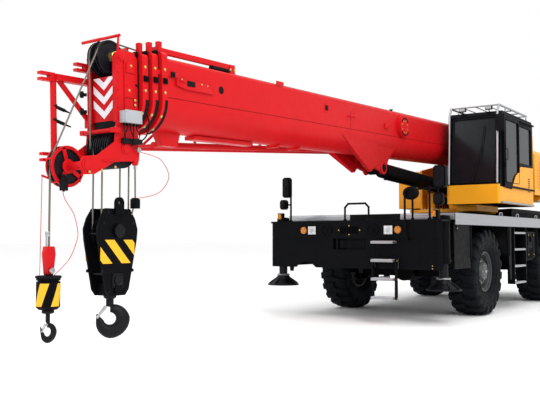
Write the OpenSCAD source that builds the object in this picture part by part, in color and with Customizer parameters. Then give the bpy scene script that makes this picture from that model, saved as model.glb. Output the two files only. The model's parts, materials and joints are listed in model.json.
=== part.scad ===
// Two-axle rough-terrain mobile crane, boom over the front, driver's cab on the left.
// Millimetres, +X forward, +Y left, +Z up, ground at z = 0, origin under the middle of the box.

/* [Running gear] */
// Distance between the two axles
wheelbase = 3700; // [3400:10:4000]
// Distance between the middle planes of the tyres on one axle
track = 2440; // [2380:10:2460]
// Diameter of a tyre over its tread
tyre_d = 1490; // [1400:10:1560]
// Width of a tyre
tyre_w = 520; // [480:10:540]
// Distance of a steering pin from the middle plane of the crane
kingpin_y = 1000; // [970:5:1020]
// Height of an axle beam's section
axle_h = 220; // [180:10:260]

/* [Carrier] */
// Width over the front and rear panels
carrier_w = 3080; // [2960:10:3160]
// Height of the main deck
deck_z = 1710; // [1660:10:1760]
// Front axle to the front panel's face
front_overhang = 2240; // [2150:10:2300]
// Rear axle to the rear panel's face
rear_overhang = 1900; // [1800:10:2000]
// Lower edge of the front panel
panel_low = 840; // [780:10:880]
// Upper edge of the front panel
panel_top = 1600; // [1560:10:1640]
// Width over the two frame rails
frame_w = 860; // [800:10:900]
// Lower face of the frame rails
rail_low = 940; // [920:10:960]
// Upper face of the frame rails
rail_top = 1450; // [1400:10:1500]

/* [Outriggers] */
// Width of a sliding beam, fore and aft
beam_w = 190; // [170:5:200]
// Height of a sliding beam
beam_h = 330; // [300:10:360]
// Distance of a stowed jack from the middle plane
jack_y = 1400; // [1380:5:1410]
// Diameter of a jack's float
float_d = 530; // [480:10:560]
// Underside of a stowed float
float_z = 520; // [480:10:560]

/* [Upper works] */
// Slewing centre behind the front axle
slew_back = 1950; // [1850:10:2000]
// Boom pivot behind the slewing centre
pivot_back = 1100; // [1050:10:1150]
// Height of the boom pivot
pivot_z = 3080; // [3040:10:3120]
// Gap between the two turntable side plates
plate_gap = 700; // [690:10:740]
// Tail of the counterweight behind the slewing centre
tail_back = 3250; // [3100:10:3300]

/* [Cab] */
// Cab front ahead of the slewing centre
cab_ahead = 1250; // [1200:10:1280]
// Length of the cab
cab_len = 2050; // [1950:10:2100]
// Inner side of the cab
cab_y0 = 480; // [460:10:500]
// Outer side of the cab
cab_y1 = 1460; // [1440:10:1480]
// Underside of the cab
cab_z0 = 1950; // [1930:10:1980]
// Top of the cab roof
cab_z1 = 3660; // [3620:10:3700]

/* [Boom] */
// Droop of the stowed boom, in degrees
droop = 2; // [1:0.1:3]
// Width of the base section
boom_w = 600; // [580:10:620]
// Height of the base section
boom_h = 780; // [760:10:820]
// Boom underside below the pivot
boom_low = 240; // [220:10:260]
// Pivot to the front of the base section
base_len = 9940; // [9700:10:10200]
// Wall of a boom section
boom_wall = 10; // [8:1:12]
// Step of each side from one section to the next, wall and clearance together
side_step = 32; // [28:1:34]
// Step of the top and the underside from one section to the next
height_step = 24; // [22:1:26]
// Distance from one collar to the next
collar_pitch = 115; // [105:1:130]

/* [Hooks] */
// Height of the lower end of the main hook
main_hook_z = 280; // [240:10:320]
// Height of the lower end of the small hook
aux_hook_z = 300; // [260:10:340]
// Pitch radius of the lower head sheaves and the block's sheaves
sheave_r = 185; // [175:5:190]
// Pitch radius of the two sheaves on top of the head
top_sheave_r = 160; // [150:5:170]
// Pitch radius of the small hook's sheave
aux_sheave_r = 185; // [175:5:195]
// Diameter of the hoist rope
rope_d = 18; // [16:1:20]

/* [Hidden] */
$fn = 64;
fit = 0.3;
move_gap = 5;
cd = cos(droop);
sd = sin(droop);

// Boom head and adapter, along the boom from the pivot and square to it
tele_w = [for (i = [0:3]) boom_w - 2 * i * side_step];
tele_h = [for (i = [0:3]) boom_h - 2 * i * height_step];
tele_z = [for (i = [0:3]) -boom_low + i * height_step];
tele_end = [for (i = [0:3]) base_len + i * collar_pitch];
collar_len = 85;
collar_t = 45;
head_gap = 16;
head_s = tele_end[2] + head_gap;
low_sheave_s = head_s + 184;
low_sheave_z = tele_z[3] - 310;
top_sheave_s = head_s + 235;
top_sheave_z = tele_z[3] + tele_h[3] + 6;
aux_sheave_s = head_s + 701;
aux_sheave_z = tele_z[3] - 505;
aux_y = -100;
fork_tip_s = head_s + 858;
fork_up_z = tele_z[3] + 413;
fork_low_z = tele_z[3] - 400;
top_fork_s = head_s + 430;
top_fork_z = tele_z[3] + 558;
fork_half = 45;
aux_weight_r = 115;

// Places along the crane
fork_reach = fork_tip_s * cd + (fork_up_z + fork_half) * sd;
weight_reach = aux_sheave_s * cd + aux_sheave_z * sd + aux_sheave_r + aux_weight_r;
front_reach = -slew_back - pivot_back + max(fork_reach, weight_reach);
hitch_len = 110;
rear_reach = wheelbase + rear_overhang + hitch_len;
front_axle_x = (rear_reach - front_reach) / 2;
rear_axle_x = front_axle_x - wheelbase;
front_x = front_axle_x + front_overhang;
rear_x = rear_axle_x - rear_overhang;
slew_x = front_axle_x - slew_back;
pivot_x = slew_x - pivot_back;
axle_z = tyre_d / 2;
half_w = carrier_w / 2;

function boom_px(s, z) = pivot_x + s * cd + z * sd;
function boom_pz(s, z) = pivot_z - s * sd + z * cd;

// Wheels
rim_r = tyre_w * 0.66;
hub_r = 80;
tyre_r = tyre_d / 2;
wheel_y = track / 2;
king_r = 35;
king_body_r = 85;

// Slewing ring
ring_r = 700;
ring_bore = 560;
ring_z0 = deck_z + 30;
ring_z1 = ring_z0 + 85;
table_z0 = ring_z1 + move_gap;
table_z1 = table_z0 + 60;
plate_t = 40;
plate_y = plate_gap / 2;

// Lift cylinder
lug_s = 4417;
lug_z = -boom_low - 186;
lift_base_x = slew_x + 50;
lift_base_z = 2350;
lift_eye_x = boom_px(lug_s, lug_z);
lift_eye_z = boom_pz(lug_s, lug_z);
lift_dx = lift_eye_x - lift_base_x;
lift_dz = lift_eye_z - lift_base_z;
lift_len = sqrt(lift_dx * lift_dx + lift_dz * lift_dz);
lift_angle = atan2(lift_dz, lift_dx);
barrel_r = 125;
lift_rod_r = 80;
barrel_len = lift_len - 260;
eye_r = 105;
lift_pin_r = 50;

// Outriggers
box_depth = 476;
box_inset = 75;
panel_t = 30;
box_low = panel_low + 100;
box_high = panel_top - 130;
box_t = 16;
box_half = 1170;
front_box_x1 = front_x - box_inset;
rear_box_x0 = rear_x + box_inset;
beam_z = (box_low + box_high) / 2;
jack_r = 105;
jack_rod_r = 70;
jack_top = panel_top + 60;
jack_low = panel_low + 90;
jack_clear = 20;
// Beam middles: the left beam lies aft in the front box, ahead in the rear box
beam_off = (box_depth - 3 * box_t) / 4 + box_t / 2;
front_box_xm = front_box_x1 - box_depth / 2;
rear_box_xm = rear_box_x0 + box_depth / 2;

// Main hook block
fall_x0 = boom_px(low_sheave_s, low_sheave_z);
fall_z0 = boom_pz(low_sheave_s, low_sheave_z);
block_z = 1390;
block_top = 1620;
block_low = 725;
block_half_y = 110;
block_y = 10;
rope_r = rope_d / 2;
// Small hook
aux_x0 = boom_px(aux_sheave_s, aux_sheave_z);
aux_z0 = boom_pz(aux_sheave_s, aux_sheave_z);
aux_fall_x = aux_x0 + aux_sheave_r;
aux_socket_z = 1230;
aux_weight_z1 = 925;
aux_weight_z0 = 625;

// Cab
cab_x1 = slew_x + cab_ahead;
cab_x0 = cab_x1 - cab_len;
cab_t = 50;
cab_rake = 110;
skirt_z = cab_z0 + 350;
quarter_z = cab_z0 + 780;
door_x0 = cab_x0 + 0.5 * cab_len;
door_t = 36;
door_y0 = cab_y1 + move_gap;
door_y1 = door_y0 + door_t;
door_low = skirt_z - 10;
door_high = cab_z1 - 90;
sill_z = cab_z0 + 60;
roof_z0 = cab_z1 - 70;
quarter_t = 20;

// Shared shapes
module box(x0, x1, y0, y1, z0, z1) {
  translate([x0, y0, z0]) cube([x1 - x0, y1 - y0, z1 - z0]);
}

module rod_x(x0, x1, y, z, r) {
  translate([x0, y, z]) rotate([0, 90, 0]) cylinder(r = r, h = x1 - x0);
}

module rod_y(x, y0, y1, z, r) {
  translate([x, y0, z]) rotate([-90, 0, 0]) cylinder(r = r, h = y1 - y0);
}

module rod_z(x, y, z0, z1, r) {
  translate([x, y, z0]) cylinder(r = r, h = z1 - z0);
}

// Round bar between two points
module bar(a, b, r) {
  d = b - a;
  l = norm(d);
  translate(a) rotate([0, acos(d[2] / l), atan2(d[1], d[0])]) cylinder(r = r, h = l);
}

// Outline in the X-Z plane, drawn out from y0 to y1
module plate_xz(points, y0, y1) {
  translate([0, y1, 0]) rotate([90, 0, 0]) linear_extrude(y1 - y0) polygon(points);
}

// Outline in the Y-Z plane, drawn out from x0 to x1
module plate_yz(points, x0, x1) {
  translate([x0, 0, 0]) rotate([90, 0, 90]) linear_extrude(x1 - x0) polygon(points);
}

module both_sides() {
  children();
  mirror([0, 1, 0]) children();
}

// Moves boom measures to their place on the crane
module on_boom() {
  translate([pivot_x, 0, pivot_z]) rotate([0, droop, 0]) children();
}

// Carrier
module chassis_frame() {
  color([0.05, 0.05, 0.055]) union() {
    both_sides() box(rear_box_x0 + box_depth, front_box_x1 - box_depth, frame_w / 2 - 110, frame_w / 2,
      rail_low, rail_top);
    for (x = [rear_box_x0 + box_depth, rear_axle_x + 700, slew_x - 500, slew_x + 460,
      front_box_x1 - box_depth - 40])
      box(x, x + 40, -frame_w / 2 + 60, frame_w / 2 - 60, rail_low + 40, rail_top - 20);
    box(slew_x - 760, slew_x + 760, -frame_w / 2, frame_w / 2, rail_top - 40, rail_top + 40);
    difference() {
      union() {
        rod_z(slew_x, 0, rail_top, ring_z0, ring_r - 20);
        rod_z(slew_x, 0, ring_z0 - 1, ring_z1, ring_r);
      }
      rod_z(slew_x, 0, rail_top + 80, ring_z0, ring_bore - 60);
      rod_z(slew_x, 0, ring_z0 - 2, ring_z1 + 1, ring_bore);
    }
  }
}

module outrigger_box(xm) {
  tunnel = (box_depth - 3 * box_t) / 2;
  pad_half = beam_w / 2 - 20;
  difference() {
    box(xm - box_depth / 2, xm + box_depth / 2, -box_half, box_half, box_low, box_high);
    for (k = [-1, 1])
      box(xm + k * beam_off - tunnel / 2, xm + k * beam_off + tunnel / 2, -box_half - 1, box_half + 1,
        beam_z - beam_h / 2 - 12, beam_z + beam_h / 2 + 12);
  }
  // Slide pads at both mouths carry the beams
  for (k = [-1, 1], e = [-1, 1])
    box(xm + k * beam_off - pad_half, xm + k * beam_off + pad_half, e * (box_half - 60) - 60,
      e * (box_half - 60) + 60, beam_z - beam_h / 2 - 13, beam_z - beam_h / 2 - fit);
}

// End panel seen from above, its face at x = 0, its ends turned back
panel_face = half_w - 60;
panel_turn = 70;

module end_panel() {
  translate([0, 0, panel_low]) linear_extrude(panel_top - panel_low) polygon([
    [0, -panel_face], [0, panel_face], [-panel_turn, half_w], [-panel_turn, half_w - 32],
    [-panel_t, panel_face - 6], [-panel_t, -panel_face + 6], [-panel_turn, -half_w + 32], [-panel_turn,
      -half_w]
  ]);
}

// Slot in a top panel, open outward, for a jack tube that slides out
module jack_slot(x) {
  slot_half = jack_r + jack_clear;
  rod_z(x, jack_y, panel_top - 40, panel_top + 1, slot_half);
  box(x - slot_half, x + slot_half, jack_y, half_w + 1, panel_top - 40, panel_top + 1);
}

lamp_z = panel_top - 155;
white_y = 690;
amber_y = 850;

// Upright webs that carry a panel on its outrigger box
module panel_webs(x0, x1) {
  both_sides() for (y = [240, 1100]) box(x0 - 1, x1 + 1, y - 20, y + 20, box_low, box_high);
}

band_z = panel_top - 280;
band_step = 12;
dish_y = 416;
dish_r = 100;
slot_half_y = 165;
slot_half_z = 58;
pocket_y0 = -300;
pocket_y1 = 280;
pocket_z0 = panel_low + 295;
arch_y = -820;
arch_r = 260;

module front_box() {
  color([0.06, 0.06, 0.065]) difference() {
    union() {
      outrigger_box(front_box_xm);
      translate([front_x, 0, 0]) end_panel();
      box(front_x - box_depth - box_inset - 30, front_x - panel_t, -half_w, half_w, panel_top - 30,
        panel_top);
      panel_webs(front_box_x1, front_x - panel_t);
      both_sides() dish(dish_y);
    }
    // Lower band set back, pocket, barred slot and arch
    box(front_x - band_step, front_x + 1, -half_w, half_w, panel_low - 1, band_z);
    box(front_x - panel_t - 1, front_x + 1, pocket_y0, pocket_y1, pocket_z0, band_z - 10);
    for (i = [-5:5])
      box(front_x - panel_t - 1, front_x + 1, i * 30 - 9, i * 30 + 9, lamp_z - slot_half_z,
        lamp_z + slot_half_z);
    rod_x(front_x - panel_t - 1, front_x + 1, arch_y, panel_low - arch_r + 90, arch_r);
    for (y = [-white_y, white_y]) box(front_x - panel_t - 1, front_x + 1, y - 75, y + 75, lamp_z - 65,
      lamp_z + 65);
    for (y = [-amber_y, amber_y]) rod_x(front_x - panel_t - 1, front_x + 1, y, lamp_z, 58);
    jack_slot(front_box_xm - beam_off);
    mirror([0, 1, 0]) jack_slot(front_box_xm + beam_off);
  }
}

// Round cover with a raised rim on the front panel
module dish(y) {
  difference() {
    rod_x(front_x - 1, front_x + 16, y, lamp_z, dish_r);
    rod_x(front_x + 2, front_x + 17, y, lamp_z, dish_r - 16);
  }
  rod_x(front_x - 1, front_x + 20, y, lamp_z, 24);
  for (a = [0, 60, 120])
    translate([front_x - 1, y, lamp_z]) rotate([a, 0, 0]) box(0, 9, -dish_r + 8, dish_r - 8, -7, 7);
}

hitch_z = 1050;
hitch_r = 25;

module rear_box() {
  color([0.06, 0.06, 0.065]) union() {
    outrigger_box(rear_box_xm);
    // Towing clevis with an upright pin hole
    difference() {
      box(rear_x - hitch_len, rear_x + 1, -90, 90, hitch_z - 90, hitch_z + 90);
      box(rear_x - hitch_len - 1, rear_x - 20, -91, 91, hitch_z - 45, hitch_z + 45);
      rod_z(rear_x - hitch_len + 50, 0, hitch_z - 100, hitch_z + 100, hitch_r);
    }
    translate([rear_x, 0, 0]) mirror([1, 0, 0]) end_panel();
    panel_webs(rear_x + panel_t, rear_box_x0);
    difference() {
      box(rear_x + panel_t, rear_x + box_depth + box_inset + 30, -half_w, half_w, panel_top - 30,
        panel_top);
      jack_slot(rear_box_xm + beam_off);
      mirror([0, 1, 0]) jack_slot(rear_box_xm - beam_off);
    }
  }
}

deck_x0 = rear_x + box_depth + box_inset + 30;
deck_x1 = front_x - box_depth - box_inset - 30;

module main_deck() {
  color([0.10, 0.10, 0.11]) difference() {
    union() {
      box(deck_x0, deck_x1, -half_w + 10, half_w - 10, deck_z - 30, deck_z);
      box(deck_x0, deck_x0 + 30, -half_w + 10, half_w - 10, panel_top - 30, deck_z);
      box(deck_x1 - 30, deck_x1, -half_w + 10, half_w - 10, panel_top - 30, deck_z);
      for (x = [slew_x - 900, slew_x + 860, deck_x1 - 300])
        both_sides() box(x, x + 40, frame_w / 2, half_w - 60, rail_top - 60, deck_z - 30);
      both_sides() box(deck_x0, deck_x1, frame_w / 2 - 100, frame_w / 2 - 60, rail_top, deck_z - 30);
      fender_plates();
    }
    rod_z(slew_x, 0, rail_top - 1, deck_z + 1, ring_r + 10);
    box(slew_x - 770, slew_x + 770, -frame_w / 2 - 1, frame_w / 2 + 1, rail_top - 1, rail_top + 45);
  }
}

fender_x = [front_axle_x + 950, front_axle_x - 990, rear_axle_x + 950, rear_axle_x - 990];

skirt_t = 12;
skirt_y = half_w - 40;

module fender_plates() {
  for (x = fender_x)
    both_sides() box(x, x + 12, kingpin_y - 20, half_w - 10, rail_low + 60, deck_z - 29);
  both_sides() {
    plate_xz([
      [deck_x1 - 5, deck_z - 29], [front_axle_x + 900, deck_z - 29], [front_axle_x + 950, 1300],
      [front_axle_x + 985, 1000], [front_axle_x + 960, panel_low], [deck_x1 - 20, panel_low]
    ], skirt_y, skirt_y + skirt_t);
    plate_xz([
      [front_axle_x - 900, deck_z - 29], [front_axle_x - 1130, deck_z - 29], [front_axle_x - 1130, 560],
      [front_axle_x - 1050, 560], [front_axle_x - 978, 1000]
    ], skirt_y, skirt_y + skirt_t);
  }
}

// Side steps and tanks share the space between the axles
step_x0 = front_axle_x - 0.5432 * wheelbase;
step_x1 = front_axle_x - 0.3432 * wheelbase;
tank_x0 = front_axle_x - 0.7162 * wheelbase;
tank_x1 = step_x0 - 70;

module deck_trim() {
  color([0.60, 0.61, 0.62]) {
    both_sides() box(deck_x0, deck_x1, half_w - 10, half_w, deck_z - 180, deck_z);
    side_steps();
    front_steps();
  }
}

module side_steps() {
  both_sides() {
    for (z = [500, 810, 1120, 1430]) box(step_x0 + 25, step_x1 - 25, half_w - 150, half_w - 20, z - 30, z);
    for (x = [step_x0, step_x1 - 25]) box(x, x + 25, half_w - 150, half_w - 20, 470, deck_z - 30);
  }
}

ladder_y0 = 430;
ladder_y1 = 850;
tread_t = 35;

module front_steps() {
  union() {
    for (z = [420, 705, 990, 1270])
      box(front_x - band_step, front_x + 140, ladder_y0 + 24, ladder_y1 - 24, z - tread_t, z);
    for (y = [ladder_y0, ladder_y1 - 25]) {
      box(front_x - band_step, front_x + 70, y, y + 25, panel_low + 10, 1010);
      box(front_x + 20, front_x + 70, y, y + 25, 385, panel_low + 11);
    }
  }
}

rail_r = 16;
rail_x = front_x - 60;
post_x = front_x - 45;
post_y = [1075, 1351];
far_post_y = -1140;

module rails_and_mirrors() {
  color([0.05, 0.05, 0.055]) {
    grab_rail();
    near_mirrors();
    far_mirrors();
  }
}

// Bars through a row of points, with a slightly larger ball at each bend
module bent_bar(points, r) {
  for (i = [0:len(points) - 2]) bar(points[i], points[i + 1], r);
  for (i = [1:len(points) - 2]) translate(points[i]) sphere(r = r + 2, $fn = 32);
}

module grab_rail() {
  top = 1868;
  bend = 60;
  bent_bar([
    [rail_x, -106, panel_top + fit], [rail_x, -106, top - bend], [rail_x, -106 + bend, top],
    [rail_x, 320 - bend, top], [rail_x, 320, top - bend], [rail_x, 320, panel_top + fit]
  ], rail_r);
}

// Mirror head seen from the front, its corners cut
module mirror_head(y, w, z0, z1) {
  c = 30;
  plate_yz([
    [y - w / 2 + c, z0], [y + w / 2 - c, z0], [y + w / 2, z0 + c], [y + w / 2, z1 - c],
    [y + w / 2 - c, z1], [y - w / 2 + c, z1], [y - w / 2, z1 - c], [y - w / 2, z0 + c]
  ], post_x - 30, post_x + 40);
}

module near_mirrors() {
  arm_z = 2060;
  union() {
    rod_z(post_x, post_y[0], panel_top + fit, arm_z + 40, rail_r);
    rod_z(post_x, post_y[1], panel_top + fit, arm_z + 40, rail_r);
    rod_y(post_x, post_y[0] - 60, 1500, arm_z, rail_r - 2);
    rod_z(post_x, 1490, 1850, 2300, rail_r - 3);
    mirror_head(1524, 196, 2066, 2400);
    mirror_head(1500, 150, 1810, 1990);
    // Round mirror
    translate([post_x + 12, 1060, 2000]) scale([1, 1, 0.78]) rotate([0, 90, 0]) rotate_extrude($fn = 48)
      polygon([[0, 0], [132, 0], [132, 18], [90, 48], [0, 64]]);
    // Tall hand rail ahead of the panel
    bent_bar([
      [front_x - band_step + fit, 1020, 1300], [front_x + 40, 1020, 1300], [front_x + 40, 986, 1360],
      [front_x + 40, 986, 2040], [post_x, post_y[0], 2095]
    ], rail_r);
    box(post_x - 45, post_x + 35, 1405, 1500, panel_top + fit, 1740);
  }
}

module far_mirrors() {
  union() {
    rod_z(post_x, far_post_y, panel_top + fit, 2200, rail_r);
    rod_y(post_x, -1290, far_post_y, 1880, rail_r - 3);
    mirror_head(-1212, 150, 2000, 2340);
    mirror_head(-1275, 130, 1800, 1965);
    box(post_x - 45, post_x + 35, -1385, -1300, panel_top + fit, 1740);
  }
}

module lamps() {
  color([0.85, 0.86, 0.88]) {
    both_sides() {
      box(front_x - panel_t, front_x + 12, white_y - 75 + fit, white_y + 75 - fit, lamp_z - 65 + fit,
        lamp_z + 65 - fit);
      rod_x(front_x - panel_t, front_x + 14, amber_y, lamp_z, 58 - fit);
    }
    // Corner lamps
    for (y = [1435, -1335]) box(post_x + 35, post_x + 62, y - 22, y + 22, panel_top + 40, panel_top + 125);
  }
}

hood_x0 = rear_x + 200;
hood_top = cab_z0 - 15;
hood_y = 1000;
hood_t = 20;
louvre_pitch = 150;
// Hood front edge, kept outside the turning circle of what hangs low on the turntable
hood_front = [slew_x - 850, slew_x - 1180, slew_x - 1330];

module hood_plan(g) {
  polygon([
    [hood_x0 + g, -hood_y + g], [hood_front[0] - g, -hood_y + g], [hood_front[1] - g, -600],
      [hood_front[2] - g, -200],
    [hood_front[2] - g, 200], [hood_front[1] - g, 600], [hood_front[0] - g, hood_y - g], [hood_x0 + g,
      hood_y - g]
  ]);
}

module engine_hood() {
  color([0.16, 0.14, 0.13]) difference() {
    union() {
      translate([0, 0, deck_z]) linear_extrude(hood_top - deck_z) hood_plan(0);
      both_sides() for (x = [hood_x0 + 300 : louvre_pitch : hood_front[0] - 250], z = [deck_z + 70,
        deck_z + 130])
        box(x, x + 110, hood_y - 1, hood_y + 14, z, z + 24);
    }
    translate([0, 0, deck_z - 1]) linear_extrude(hood_top - hood_t - deck_z) hood_plan(hood_t);
  }
}

module engine_block() {
  engine_x0 = rear_box_x0 + box_depth + 150;
  engine_x1 = rear_axle_x - 380;
  engine_y = frame_w / 2 - 140;
  color([0.30, 0.30, 0.31]) union() {
    box(engine_x0, engine_x1, -engine_y, engine_y, rail_low + 30, deck_z - 35);
    box(engine_x0 + 80, engine_x1 - 80, -frame_w / 2 + 110, frame_w / 2 - 110, rail_top - 160,
      rail_top - 60);
  }
}

module side_tanks() {
  tank_low = rail_low - 60;
  cut = 70;
  color([0.04, 0.04, 0.045]) both_sides() plate_yz([
    [frame_w / 2, tank_low + cut], [frame_w / 2 + cut, tank_low], [half_w - 40 - cut, tank_low],
    [half_w - 40, tank_low + cut], [half_w - 40, rail_top - 5], [frame_w / 2, rail_top - 5]
  ], tank_x0, tank_x1);
}

module driveline() {
  color([0.20, 0.20, 0.21]) union() {
    box(slew_x - 360, slew_x + 360, -frame_w / 2 + 110, frame_w / 2 - 110, rail_low - 200, rail_low + 260);
    rod_x(rear_axle_x + 250, slew_x - 360, 0, axle_z + 25, 55);
    rod_x(slew_x + 360, front_axle_x - 250, 0, axle_z + 25, 55);
  }
}

fork_gap = 135;
fork_t = 40;

module axle(x) {
  difference() {
    union() {
      box(x - 100, x + 100, -kingpin_y + 190, kingpin_y - 190, axle_z - axle_h / 2, axle_z + axle_h / 2);
      rod_x(x - 250, x + 250, 0, axle_z, 190);
      both_sides() {
        box(x - 100, x + 100, frame_w / 2 - 110, frame_w / 2, axle_z, rail_low);
        box(x - 95, x + 95, kingpin_y - 200, kingpin_y - 100, axle_z - fork_gap - fork_t,
          axle_z + fork_gap + fork_t);
        for (k = [-1, 1]) {
          box(x - 95, x + 95, kingpin_y - 101, kingpin_y, axle_z + k * (fork_gap + fork_t / 2) - fork_t / 2,
            axle_z + k * (fork_gap + fork_t / 2) + fork_t / 2);
          rod_z(x, kingpin_y, axle_z + k * (fork_gap + fork_t / 2) - fork_t / 2,
            axle_z + k * (fork_gap + fork_t / 2) + fork_t / 2, 95);
        }
      }
    }
    both_sides() rod_z(x, kingpin_y, axle_z - 400, axle_z + 400, king_r + fit);
  }
}

module front_axle() {
  color([0.08, 0.08, 0.085]) axle(front_axle_x);
}

module rear_axle() {
  color([0.08, 0.08, 0.085]) axle(rear_axle_x);
}

module knuckle(x) {
  union() {
    rod_z(x, kingpin_y, axle_z - fork_gap + 1, axle_z + fork_gap - 1, king_body_r);
    rod_z(x, kingpin_y, axle_z - fork_gap - fork_t - 12, axle_z + fork_gap + fork_t + 12, king_r);
    rod_y(x, kingpin_y, wheel_y + 150, axle_z, hub_r);
  }
}

module knuckle_fl() {
  color([0.12, 0.12, 0.125]) knuckle(front_axle_x);
}

module knuckle_fr() {
  color([0.12, 0.12, 0.125]) mirror([0, 1, 0]) knuckle(front_axle_x);
}

module knuckle_rl() {
  color([0.12, 0.12, 0.125]) knuckle(rear_axle_x);
}

module knuckle_rr() {
  color([0.12, 0.12, 0.125]) mirror([0, 1, 0]) knuckle(rear_axle_x);
}

lug_count = 20;
lug_h = 42;
// Depth of the bead, so that its flat facets clear the round rim
bead_depth = tyre_r - rim_r - 1.6;
// Where a lug starts and ends and where the groove beside it starts and ends, as shares of one pitch
lug_step = [0, 0.52, 0.64, 0.88];
// Tyre section: share of half width, depth below the tread on a lug and in a groove, sweep round the wheel
tyre_section = [
  [-0.72, bead_depth, bead_depth, 9], [-1, 200, 200, 9], [-0.95, 85, 125, 9],
  [-0.72, 14, lug_h + 14, 7], [0, 0, lug_h, 0], [0.72, 14, lug_h + 14, 7], [0.95, 85, 125, 9], [1, 200,
    200, 9],
  [0.72, bead_depth, bead_depth, 9]
];
tyre_n = len(tyre_section);
tyre_k = 4 * lug_count;

function tyre_point(k, p) = let (
  j = k % 4,
  r = tyre_r - (j < 2 ? p[1] : p[2]),
  a = (floor(k / 4) + lug_step[j]) * 360 / lug_count + p[3]
) [r * sin(a), p[0] * tyre_w / 2, -r * cos(a)];

// Tyre with swept lugs, built ring by ring
module tyre(x) {
  translate([x, wheel_y, axle_z]) polyhedron(
    points = [for (k = [0:tyre_k - 1], p = tyre_section) tyre_point(k, p)],
    faces = [
      for (k = [0:tyre_k - 1], i = [0:tyre_n - 1]) let (
        a = k * tyre_n + i,
        b = k * tyre_n + (i + 1) % tyre_n,
        c = (k + 1) % tyre_k * tyre_n + (i + 1) % tyre_n,
        d = (k + 1) % tyre_k * tyre_n + i
      ) each [[a, c, b], [a, d, c]]
    ]
  );
}

module tyre_fl() {
  color([0.03, 0.032, 0.038]) tyre(front_axle_x);
}

module tyre_fr() {
  color([0.03, 0.032, 0.038]) mirror([0, 1, 0]) tyre(front_axle_x);
}

module tyre_rl() {
  color([0.03, 0.032, 0.038]) tyre(rear_axle_x);
}

module tyre_rr() {
  color([0.03, 0.032, 0.038]) mirror([0, 1, 0]) tyre(rear_axle_x);
}

module rim(x) {
  sw = tyre_w / 2 * 0.72;
  translate([x, wheel_y, axle_z]) rotate([-90, 0, 0]) rotate_extrude($fn = 96) polygon([
    [hub_r + fit, 0], [190, 0], [220, 20], [rim_r - 24, 20], [rim_r - 24, -sw], [rim_r, -sw], [rim_r, sw],
    [rim_r - 24, sw], [rim_r - 40, 70], [225, 60], [205, 120], [170, 135], [150, 180], [90, 195], [0, 195],
    [0, 160], [hub_r + fit, 160]
  ]);
}

module rim_fl() {
  color([0.10, 0.10, 0.105]) rim(front_axle_x);
}

module rim_fr() {
  color([0.10, 0.10, 0.105]) mirror([0, 1, 0]) rim(front_axle_x);
}

module rim_rl() {
  color([0.10, 0.10, 0.105]) rim(rear_axle_x);
}

module rim_rr() {
  color([0.10, 0.10, 0.105]) mirror([0, 1, 0]) rim(rear_axle_x);
}

// A sliding beam on the left with its jack tube
module beam(x) {
  tube_gap = 14;
  difference() {
    union() {
      box(x - beam_w / 2, x + beam_w / 2, -box_half + 40, jack_y, beam_z - beam_h / 2, beam_z + beam_h / 2);
      rod_z(x, jack_y, jack_low, jack_top, jack_r);
    }
    box(x - beam_w / 2 + tube_gap, x + beam_w / 2 - tube_gap, -box_half + 39, jack_y - jack_r - 20,
      beam_z - beam_h / 2 + tube_gap, beam_z + beam_h / 2 - tube_gap);
    rod_z(x, jack_y, jack_low - 1, jack_top - 30, jack_rod_r + fit);
  }
}

module beam_fl() {
  color([0.05, 0.05, 0.055]) beam(front_box_xm - beam_off);
}

module beam_fr() {
  color([0.05, 0.05, 0.055]) mirror([0, 1, 0]) beam(front_box_xm + beam_off);
}

module beam_rl() {
  color([0.05, 0.05, 0.055]) beam(rear_box_xm + beam_off);
}

module beam_rr() {
  color([0.05, 0.05, 0.055]) mirror([0, 1, 0]) beam(rear_box_xm - beam_off);
}

module jack(x) {
  union() {
    translate([x, jack_y, 0]) rotate_extrude() polygon([
      [0, float_z], [float_d / 2, float_z], [float_d / 2, float_z + 24], [float_d / 2 - 40, float_z + 34],
      [130, float_z + 110], [105, float_z + 160], [jack_rod_r, float_z + 175], [jack_rod_r, jack_top - 60],
      [0, jack_top - 60]
    ]);
    // Ribs on the float
    translate([x, jack_y, 0]) for (a = [0:45:315]) rotate([0, 0, a]) plate_xz([
      [60, float_z + 20], [float_d / 2 - 14, float_z + 20], [float_d / 2 - 14, float_z + 44], [120,
        float_z + 135],
      [60, float_z + 135]
    ], -7, 7);
  }
}

module jack_fl() {
  color([0.16, 0.16, 0.165]) jack(front_box_xm - beam_off);
}

module jack_fr() {
  color([0.16, 0.16, 0.165]) mirror([0, 1, 0]) jack(front_box_xm + beam_off);
}

module jack_rl() {
  color([0.16, 0.16, 0.165]) jack(rear_box_xm + beam_off);
}

module jack_rr() {
  color([0.16, 0.16, 0.165]) mirror([0, 1, 0]) jack(rear_box_xm - beam_off);
}

// Upper works
table_front = slew_x + 560;
table_back = slew_x - 2550;
table_tail = slew_x - 1000;
plate_front_z = 2680;
tail_low = 2150;
tail_high = 3000;
tail_half = 1150;

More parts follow.
